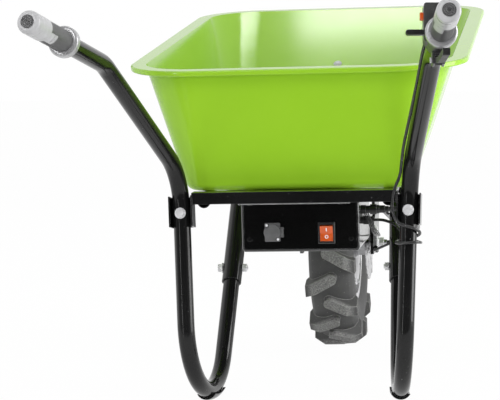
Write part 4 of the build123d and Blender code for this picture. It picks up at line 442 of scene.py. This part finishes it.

# Its edges are painted pale, a painted highlight.
turned_steel = finish(
    "turned steel", (turned_rings, {"Ring_scale": 2200.0}), (grey(0.42), grey(0.56)), (0.22, 0.34),
    (0.2, 0.0002), edge=(grey(0.85), 0.6, {"Radius": 0.0005, "Gain": 3.0}), Metallic=1.0,
)
dress(turned_steel, "brake_disc", "wheel_bearings", "axle")
copper_wire = finish(
    "wound copper wire", (turned_rings, {"Ring_scale": 900.0}),
    ((0.50, 0.20, 0.08, 1), (0.72, 0.34, 0.14, 1)), (0.25, 0.38), (0.6, 0.0008), Metallic=1.0,
)
dress(copper_wire, "stator_coils")
sheet_steel = finish(
    "stacked sheet steel",
    (sprayed_skin, {"Stretch": (30.0, 0.4, 0.4), "Fine_scale": 60.0, "Broad_scale": 20.0}),
    (grey(0.30), grey(0.44)), (0.35, 0.5), (0.4, 0.0005), Metallic=1.0,
)
dress(sheet_steel, "stator")
plated_magnet = finish(
    "plated magnet", (sprayed_skin, {"Fine_scale": 600.0, "Broad_scale": 50.0}),
    (grey(0.50), grey(0.62)), (0.2, 0.3), (0.06, 0.0002), Metallic=1.0,
)
dress(plated_magnet, "magnets")
dress(zinc_plate, "wheel_screws")

# Disc brake: a caliper bolted to the right fork plate, two friction pads, and an arm the brake wire pulls.
# The caliper is a painted casting, and the wire is bare twisted steel between the cable's end and the arm.
# The casting's edges are painted grey, a painted highlight.
painted_casting = finish("painted casting", (cast_skin, {"Fine_scale": 700.0, "Broad_scale": 30.0}),
                         (grey(0.012), grey(0.024)), (0.38, 0.52), (0.25, 0.0005), IOR=1.3,
                         edge=(grey(0.30), 0.7, {"Radius": 0.0010, "Gain": 3.0}))
dress(painted_casting, "brake_caliper")
dress(finish("friction block", (cast_skin, {"Fine_scale": 1200.0, "Broad_scale": 90.0, "Speck_limit": 0.66}),
             ((0.045, 0.040, 0.036, 1), (0.075, 0.068, 0.060, 1)), (0.7, 0.85), (0.4, 0.0005),
             specks=(0.45, 0.30, 0.16, 1)), "brake_pads")


def tube_along(points, radius, sides=12):
    """A closed round rod through points, each ring square to the way on."""
    turns = [2 * math.pi * side / sides for side in range(sides)]
    rim = [Vector((radius * math.cos(turn), radius * math.sin(turn), 0)) for turn in turns]
    shape = bmesh.new()
    rings = []
    for count, point in enumerate(points):
        way = points[min(count + 1, len(points) - 1)] - points[max(count - 1, 0)]
        square = way.to_track_quat("Z", "X").to_matrix()
        rings.append([shape.verts.new(point + square @ spot) for spot in rim])
    for low, high in zip(rings, rings[1:]):
        for side in range(sides):
            face = (low[side], low[(side + 1) % sides], high[(side + 1) % sides], high[side])
            shape.faces.new(face).smooth = True
    shape.faces.new(rings[0])
    shape.faces.new(rings[-1])
    bmesh.ops.recalc_face_normals(shape, faces=shape.faces)
    mesh = bpy.data.meshes.new("rod")
    shape.to_mesh(mesh)
    shape.free()
    return mesh


twisted_wire = finish("twisted wire", (sprayed_skin, {"Stretch": (3.0, 1.0, 3.0), "Fine_scale": 900.0}),
                      (grey(0.45), grey(0.62)), (0.3, 0.42), (0.5, 0.0004), Metallic=1.0)
wire_x, wire_z, wire_radius = 0.0773, 0.1932, 0.0008
wire_route = [Vector((wire_x, y, wire_z)) for y in (0.4000, 0.4200, 0.4445, 0.4640)]
piece("brake_wire", tube_along(wire_route, wire_radius), "frame", twisted_wire)

# Battery box: a folded sheet box under the tray with a screwed rear cover, painted in glossy black.
# Painted highlights pale its folds and rims; inside sit a wrapped battery pack and the motor controller.
box_enamel = finish(
    "box enamel",
    (sprayed_skin, {"Fine_scale": 420.0, "Broad_scale": 9.0, "Speck_scale": 360.0, "Speck_limit": 0.79}),
    (grey(0.0015), grey(0.0035)), (0.07, 0.13), (0.03, 0.0003), specks=grey(0.10),
    edge=(grey(0.85), 1.0, {"Radius": 0.003, "Gain": 8.0}), Coat_Weight=0.3, Coat_Roughness=0.03,
)
dress(box_enamel, "battery_box", "box_cover")
shrink_wrap = finish(
    "shrink wrap", (sprayed_skin, {"Stretch": (1.0, 1.0, 0.2), "Fine_scale": 240.0, "Broad_scale": 14.0}),
    ((0.020, 0.060, 0.26, 1), (0.045, 0.12, 0.42, 1)), (0.12, 0.25), (0.3, 0.0006),
)
dress(shrink_wrap, "battery_pack")
controller_case = finish(
    "controller case", (cast_skin, {"Fine_scale": 800.0, "Broad_scale": 30.0}),
    (grey(0.022), grey(0.036)), (0.35, 0.5), (0.2, 0.0003),
)
dress(controller_case, "motor_controller")

# Panel screws: small pan-head screws, blacked on the box and plain zinc on the charge socket's flange.
# The zinc ones are told apart by their place; their heads are painted dark at the rim, pale in the middle.
blacked_screw = finish("blacked screw", (sprayed_skin, {"Fine_scale": 900.0, "Broad_scale": 80.0}),
                       (grey(0.004), grey(0.007)), (0.14, 0.24), (0.1, 0.0002))
socket_screws = ((-0.03675, 0.0, 0.26725), (-0.05525, 0.0, 0.29075))
dark_rim, bare_head = (0.0045, 0.11), (0.0021, 0.85)
tree = blacked_screw.node_tree
shader = tree.nodes["Principled BSDF"]
where = put(tree, "ShaderNodeTexCoord")
flat = put(tree, "ShaderNodeVectorMath")
flat.operation = "MULTIPLY"
flat.inputs[1].default_value = (1.0, 0.0, 1.0)
tree.links.new(where.outputs["Object"], flat.inputs[0])
reaches = []
for middle in socket_screws:
    reach = put(tree, "ShaderNodeVectorMath")
    reach.operation = "DISTANCE"
    reach.inputs[1].default_value = middle
    tree.links.new(flat.outputs["Vector"], reach.inputs[0])
    reaches.append(reach.outputs["Value"])
nearest = sums(tree, "MINIMUM", *reaches)
for limit, level in (dark_rim, bare_head):
    plain = tree.nodes.new("ShaderNodeMix")
    plain.data_type = "RGBA"
    plain.inputs["B"].default_value = grey(level)
    tree.links.new(sums(tree, "LESS_THAN", nearest, limit), plain.inputs["Factor"])
    tree.links.new(shader.inputs["Base Color"].links[0].from_socket, plain.inputs["A"])
    tree.links.new(plain.outputs["Result"], shader.inputs["Base Color"])
dress(blacked_screw, "panel_screws")

# Charge socket: a flanged socket in grey moulded plastic, with a hinged flap over its mouth.
# The moulding has a fine spark texture and a paler rim, part rubbing, part painted highlight.
grey_moulding = finish(
    "grey moulding",
    (cast_skin, {"Fine_scale": 1400.0, "Broad_scale": 60.0, "Speck_scale": 900.0, "Speck_limit": 0.72}),
    (grey(0.075), grey(0.11)), (0.38, 0.52), (0.2, 0.0003), specks=grey(0.20),
    edge=(grey(0.34), 0.7, {"Radius": 0.0008, "Gain": 3.0, "Break_up": 400.0}),
)
dress(grey_moulding, "charge_socket", "socket_cap")

# Rocker switch: a black moulded bezel in the cover, with a red rocker that carries a bar and a ring in white.
# The rocker is clear-coated plastic, and the marks are printed on its two faces.
# The bezel's edges are painted paler, a painted highlight.
black_moulding = finish(
    "black moulding",
    (cast_skin, {"Fine_scale": 1300.0, "Broad_scale": 50.0, "Speck_scale": 700.0, "Speck_limit": 0.76}),
    (grey(0.006), grey(0.011)), (0.28, 0.42), (0.18, 0.0003), specks=grey(0.08),
    edge=(grey(0.30), 0.7, {"Radius": 0.0009, "Gain": 3.5, "Break_up": 300.0}),
)
dress(black_moulding, "switch_housing")
# The rocker's edges are painted pale orange, a painted highlight.
red_moulding = finish(
    "red moulding",
    (sprayed_skin, {"Fine_scale": 300.0, "Broad_scale": 90.0, "Speck_scale": 800.0, "Speck_limit": 0.78}),
    ((0.50, 0.072, 0.010, 1), (0.62, 0.100, 0.016, 1)), (0.10, 0.18), (0.05, 0.0003),
    specks=(0.85, 0.25, 0.15, 1),
    edge=((1.0, 0.42, 0.25, 1), 0.6, {"Radius": 0.0010, "Gain": 3.0, "Break_up": 300.0}),
    Coat_Weight=0.2, Coat_Roughness=0.04,
)
dress(red_moulding, "rocker", "push_button")
rocker_mesh = nodes["rocker"].data
rocker_skin = BVHTree.FromPolygons([vertex.co for vertex in rocker_mesh.vertices],
                                   [face.vertices for face in rocker_mesh.polygons])
switch_x, switch_z, behind_switch = 0.044, 0.277, -0.2
print_lift, print_join = 0.00015, 0.00001
bar_half, bar_foot, bar_length, bar_steps = 0.0008, 0.0030, 0.0055, 8
ring_inner, ring_outer, ring_drop, ring_steps = 0.0019, 0.0031, 0.0065, 24
print_marks = bmesh.new()


def print_face(corners):
    """A face of the print, just off the rocker's rear face, from spots about the middle of the switch."""
    made = []
    for across, up in corners:
        start = Vector((switch_x + across, behind_switch, switch_z + up))
        hit, outward, _, _ = rocker_skin.ray_cast(start, Vector((0, 1, 0)))
        made.append(print_marks.verts.new(hit + outward * print_lift))
    print_marks.faces.new(made)


ring_parts = ring_steps // bar_steps
for step in range(bar_steps):
    foot, head = (bar_foot + bar_length * end / bar_steps for end in (step, step + 1))
    print_face(((-bar_half, foot), (bar_half, foot), (bar_half, head), (-bar_half, head)))
    for part in range(ring_parts * step, ring_parts * (step + 1)):
        first, last = (2 * math.pi * end / ring_steps for end in (part, part + 1))
        corners = ((ring_inner, first), (ring_outer, first), (ring_outer, last), (ring_inner, last))
        print_face([(reach * math.sin(turn), reach * math.cos(turn) - ring_drop) for reach, turn in corners])
bmesh.ops.remove_doubles(print_marks, verts=print_marks.verts, dist=print_join)
bmesh.ops.recalc_face_normals(print_marks, faces=print_marks.faces)
marks = bpy.data.meshes.new("rocker_marks")
print_marks.to_mesh(marks)
print_marks.free()
if marks.polygons[0].normal.y > 0:
    marks.flip_normals()
white_print = finish(
    "white print", (sprayed_skin, {"Fine_scale": 1500.0, "Broad_scale": 300.0}),
    (grey(0.72), grey(0.85)), (0.4, 0.5), (0.1, 0.0002),
)
piece("rocker_marks", marks, "rocker", white_print)

# Cables: a control cable down the right handle, a brake cable to the caliper and a motor cable from the box.
# Each has a smooth black sheath and a screwed gland or a plug; three thin leads run to the brake.
cable_sheath = finish(
    "cable sheath",
    (sprayed_skin, {"Fine_scale": 600.0, "Broad_scale": 22.0, "Speck_scale": 380.0, "Speck_limit": 0.73}),
    (grey(0.012), grey(0.026)), (0.20, 0.34), (0.08, 0.0003), specks=grey(0.22),
    dust=(grey(0.16), 0.3, {"Scale": 60.0, "Least": 0.2}),
)
dress(cable_sheath, "control_cable", "brake_cable", "motor_cable")
dress(black_moulding, "cable_glands", "cable_connector")
lead_dia = 0.0020
lead_apart = 0.0030
lead_route = [(0.1000, -0.0145, 0.3020), (0.1045, -0.0135, 0.2900), (0.1095, -0.0060, 0.2750),
              (0.1120, 0.0200, 0.2620), (0.1100, 0.0850, 0.2520), (0.1020, 0.1800, 0.2440),
              (0.0880, 0.2850, 0.2400), (0.0705, 0.3750, 0.2410), (0.0580, 0.4345, 0.2410)]
for count, name in enumerate(("inner", "middle", "outer")):
    line = bpy.data.curves.new(name + "_lead", "CURVE")
    line.dimensions = "3D"
    line.bevel_depth = lead_dia / 2
    line.use_fill_caps = True
    line.materials.append(cable_sheath)
    spline = line.splines.new("NURBS")
    spline.points.add(len(lead_route) - 1)
    for point, (x, y, z) in zip(spline.points, lead_route):
        point.co = (x + lead_apart * count, y, z, 1)
    spline.order_u = 3
    spline.use_endpoint_u = True
    lead = bpy.data.objects.new(name + "_lead_wire", line)
    bpy.context.scene.collection.objects.link(lead)
    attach(lead, "frame")

# Grips: a knurled sleeve on each handle, with a plated collar in front and a palm piece with two tongues.
# The sleeve is dark rubber with rows of small points, the palm piece a silver moulding, the end cap dark.
sleeve_rubber = finish(
    "sleeve rubber",
    (sprayed_skin, {"Fine_scale": 800.0, "Broad_scale": 45.0, "Speck_scale": 500.0, "Speck_limit": 0.75}),
    (grey(0.060), grey(0.095)), (0.42, 0.55), (0.15, 0.0003), specks=grey(0.25),
    dust=(grey(0.30), 0.25, {"Scale": 80.0, "Least": 0.25}),
)
dress(sleeve_rubber, "left_grip", "right_grip")
knurling = {"Radius": 0.01595, "Length": 0.062, "Rows": 34, "Points a row": 54, "Point width": 0.0019,
            "Point height": 0.00035}
knurl_middle = 0.050
knurl_growth, given, result = new_growth("knurl", knurling)
sheet = put(knurl_growth, "GeometryNodeMeshGrid", Size_Y=2 * math.pi)
order = put(knurl_growth, "GeometryNodeInputIndex")
place = put(knurl_growth, "GeometryNodeInputPosition")
split = put(knurl_growth, "ShaderNodeSeparateXYZ")
round_spot = put(knurl_growth, "ShaderNodeCombineXYZ")
outward = put(knurl_growth, "ShaderNodeCombineXYZ")
rolled = put(knurl_growth, "GeometryNodeSetPosition")
stand = put(knurl_growth, "FunctionNodeAlignRotationToVector")
stand.axis = "Z"
point = put(knurl_growth, "GeometryNodeMeshCone", Vertices=4, Radius_Top=0.0)
point.fill_type = "NONE"
spread = put(knurl_growth, "GeometryNodeInstanceOnPoints")
links = knurl_growth.links
links.new(given["Length"], sheet.inputs["Size X"])
links.new(given["Rows"], sheet.inputs["Vertices X"])
links.new(given["Points a row"], sheet.inputs["Vertices Y"])
links.new(place.outputs["Position"], split.inputs["Vector"])
rows_on = sums(knurl_growth, "DIVIDE", order.outputs["Index"], given["Points a row"])
row = sums(knurl_growth, "FLOOR", rows_on, 0.0)
stagger = sums(knurl_growth, "DIVIDE", sums(knurl_growth, "MODULO", row, 2.0), given["Points a row"])
angle = sums(knurl_growth, "ADD", split.outputs["Y"], sums(knurl_growth, "MULTIPLY", stagger, math.pi))
for axis, wave in (("X", "COSINE"), ("Y", "SINE")):
    way = sums(knurl_growth, wave, angle, 0.0)
    links.new(way, outward.inputs[axis])
    links.new(sums(knurl_growth, "MULTIPLY", way, given["Radius"]), round_spot.inputs[axis])
links.new(split.outputs["X"], round_spot.inputs["Z"])
links.new(sheet.outputs["Mesh"], rolled.inputs["Geometry"])
links.new(round_spot.outputs["Vector"], rolled.inputs["Position"])
links.new(outward.outputs["Vector"], stand.inputs["Vector"])
links.new(sums(knurl_growth, "MULTIPLY", given["Point width"], 0.5), point.inputs["Radius Bottom"])
links.new(given["Point height"], point.inputs["Depth"])
links.new(rolled.outputs["Geometry"], spread.inputs["Points"])
links.new(point.outputs["Mesh"], spread.inputs["Instance"])
links.new(stand.outputs["Rotation"], spread.inputs["Rotation"])
close_growth(knurl_growth, spread.outputs["Instances"], sleeve_rubber, result)
grip_front = Vector((0.268242, -0.576755, 0.607287))
grip_along = Vector((0.139023, -0.963761, 0.227676))
for side, name in ((-1, "left"), (1, "right")):
    knurl = grown(knurl_growth, bpy.data.meshes.new("bare"), knurling)
    way = Vector((side * grip_along.x, grip_along.y, grip_along.z))
    front = Vector((side * grip_front.x, grip_front.y, grip_front.z))
    turned_along = way.to_track_quat("Z", "Y").to_matrix().to_4x4()
    knurl.transform(Matrix.Translation(front + way * knurl_middle) @ turned_along)
    piece(name + "_grip_knurl", knurl, "frame")
brushed = (sprayed_skin, {"Stretch": (1.0, 3.0, 1.0), "Fine_scale": 500.0, "Broad_scale": 40.0,
                          "Speck_limit": 0.79})
# The collar's edges are painted pale, a painted highlight.
bright_plate = finish(
    "bright plate", brushed, (grey(0.34), grey(0.46)), (0.20, 0.30), (0.06, 0.0002), specks=grey(0.20),
    edge=(grey(0.85), 0.6, {"Radius": 0.0010, "Gain": 3.0}), Metallic=0.45,
)
dress(bright_plate, "grip_collars")
# The palm piece's edges are painted dark, a painted shade line where it stands proud of the sleeve.
silver_moulding = finish(
    "silver moulding", brushed, (grey(0.36), grey(0.50)), (0.24, 0.36), (0.06, 0.0002), specks=grey(0.20),
    edge=(grey(0.05), 0.9, {"Radius": 0.0006, "Gain": 8.0, "Break_up": 300.0}), IOR=1.45,
)
dress(silver_moulding, "grip_palms")
# The cap's edges and rings are painted pale, a painted highlight.
ringed_cap = finish(
    "ringed cap", (cast_skin, {"Fine_scale": 1400.0, "Broad_scale": 90.0}),
    (grey(0.032), grey(0.055)), (0.22, 0.32), (0.04, 0.0001),
    edge=(grey(0.75), 1.0, {"Radius": 0.0008, "Gain": 4.0, "Break_up": 400.0}),
)
dress(ringed_cap, "grip_end_caps")

# Controls on the right handle: a housing with a red button, a thumb throttle and a brake lever on its perch.
# Housing and perch are dark grey mouldings, the throttle is black, and the lever is enamelled cast metal.
dress(black_moulding, "throttle_lever")
# Its edges are painted paler, a painted highlight.
dark_moulding = finish(
    "dark moulding",
    (cast_skin, {"Fine_scale": 1300.0, "Broad_scale": 50.0, "Speck_scale": 700.0, "Speck_limit": 0.70}),
    (grey(0.030), grey(0.050)), (0.28, 0.42), (0.18, 0.0003), specks=grey(0.16),
    edge=(grey(0.30), 0.7, {"Radius": 0.0009, "Gain": 3.5, "Break_up": 300.0}),
)
dress(dark_moulding, "control_housing", "brake_perch")
dress(painted_casting, "brake_lever")

# Camera: behind the grips and a little to the right, with a long lens, as the barrow was photographed.
lens = bpy.data.cameras.new("camera")
camera = bpy.data.objects.new("camera", lens)
bpy.context.scene.collection.objects.link(camera)
bpy.context.scene.camera = camera
yaw, pitch, roll = math.radians(8.59), math.radians(5.13), math.radians(-1.64)
ahead = Vector((-math.sin(yaw) * math.cos(pitch), math.cos(yaw) * math.cos(pitch), -math.sin(pitch)))
level = Vector((math.cos(yaw), math.sin(yaw), 0))
upright = level.cross(ahead)
across = level * math.cos(roll) + upright * math.sin(roll)
upward = upright * math.cos(roll) - level * math.sin(roll)
camera.matrix_world = Matrix((across, upward, -ahead)).transposed().to_4x4()
camera.location = (0.4493, -3.590, 0.6498)
picture_width, focal_pixels, sensor = 500, 2148.35, 36.0
shift_across, shift_up = -1.475, 0.80
lens.sensor_width = sensor
lens.lens = focal_pixels / picture_width * sensor
lens.shift_x = shift_across / picture_width
lens.shift_y = shift_up / picture_width
lens.clip_end = 100.0

# Studio: a white table with a faint shadow, a white surround that darkens behind the camera, soft lamps.
# A tall strip lamp draws a line down each tube, and a panel at each side lights its edges.
bpy.context.scene.view_settings.view_transform = "Standard"
sheet = bmesh.new()
table_half_x, table_half_y, table_ahead = 7.0, 6.6, 5.6
table_size = Matrix.Diagonal((table_half_x, table_half_y, 1.0, 1.0))
bmesh.ops.create_grid(sheet, x_segments=1, y_segments=1, size=1.0, matrix=table_size)
bmesh.ops.translate(sheet, verts=sheet.verts, vec=(0.0, table_ahead, 0.0))
floor_mesh = bpy.data.meshes.new("floor")
sheet.to_mesh(floor_mesh)
sheet.free()
floor = bpy.data.objects.new("floor", floor_mesh)
bpy.context.scene.collection.objects.link(floor)
paper = bpy.data.materials.new("white paper")
paper.use_nodes = True
tree = paper.node_tree
shader = tree.nodes["Principled BSDF"]
shader.inputs["Base Color"].default_value = (0.9, 0.9, 0.9, 1)
shader.inputs["Roughness"].default_value = 0.9
lit = put(tree, "ShaderNodeEmission", Color=(1, 1, 1, 1), Strength=1.0)
seen = put(tree, "ShaderNodeLightPath").outputs
blend = put(tree, "ShaderNodeMixShader")
glow_share = 0.975
in_view = sums(tree, "MAXIMUM", seen["Is Camera Ray"], seen["Is Glossy Ray"])
shown = sums(tree, "MAXIMUM", in_view, seen["Is Transmission Ray"])
tree.links.new(sums(tree, "MULTIPLY", shown, glow_share), blend.inputs["Fac"])
tree.links.new(shader.outputs["BSDF"], blend.inputs[1])
tree.links.new(lit.outputs["Emission"], blend.inputs[2])
tree.links.new(blend.outputs["Shader"], tree.nodes["Material Output"].inputs["Surface"])
floor_mesh.materials.append(paper)

world = bpy.data.worlds.new("surround")
bpy.context.scene.world = world
world.use_nodes = True
tree = world.node_tree
backdrop = tree.nodes["Background"]
backdrop.inputs["Color"].default_value = (1, 1, 1, 1)
where = put(tree, "ShaderNodeTexCoord")
split = put(tree, "ShaderNodeSeparateXYZ")
toward = put(tree, "ShaderNodeMapRange", From_Min=-0.80, From_Max=0.30, To_Min=0.03, To_Max=1.0)
overhead = put(tree, "ShaderNodeMapRange", From_Min=0.30, From_Max=0.85, To_Min=0.0, To_Max=0.35)
seen = put(tree, "ShaderNodeLightPath")
tree.links.new(where.outputs["Generated"], split.inputs["Vector"])
tree.links.new(split.outputs["Y"], toward.inputs["Value"])
tree.links.new(split.outputs["Z"], overhead.inputs["Value"])
bright = sums(tree, "MAXIMUM", toward.outputs["Result"], overhead.outputs["Result"])
tree.links.new(sums(tree, "MAXIMUM", bright, seen.outputs["Is Camera Ray"]), backdrop.inputs["Strength"])

for name, place, aim, wide, tall, power in (
    ("key lamp", (-0.9, -3.0, 2.6), (0, 0, 0.4), 1.4, 1.4, 30.0),
    ("fill lamp", (0.3, -3.9, 0.5), (0, 0, 0.4), 2.6, 1.6, 82.0),
    ("strip lamp", (-1.9, -2.9, 0.75), (0, -0.1, 0.3), 0.10, 2.4, 12.0),
    ("right panel", (2.1, 0.0, 0.8), (0, 0.1, 0.3), 1.2, 1.6, 40.0),
    ("left panel", (-2.1, 0.3, 0.9), (0, 0, 0.4), 1.2, 1.8, 4.0),
    ("top lamp", (-0.12, 1.34, 2.9), (-0.1, 0.7, 0.5), 0.55, 0.20, 5.0),
):
    lamp = bpy.data.lights.new(name, "AREA")
    lamp.shape = "RECTANGLE"
    lamp.size = wide
    lamp.size_y = tall
    lamp.energy = power
    holder = bpy.data.objects.new(name, lamp)
    holder.location = place
    holder.rotation_euler = (Vector(aim) - Vector(place)).to_track_quat("-Z", "Y").to_euler()
    holder.visible_glossy = name != "fill lamp"
    bpy.context.scene.collection.objects.link(holder)
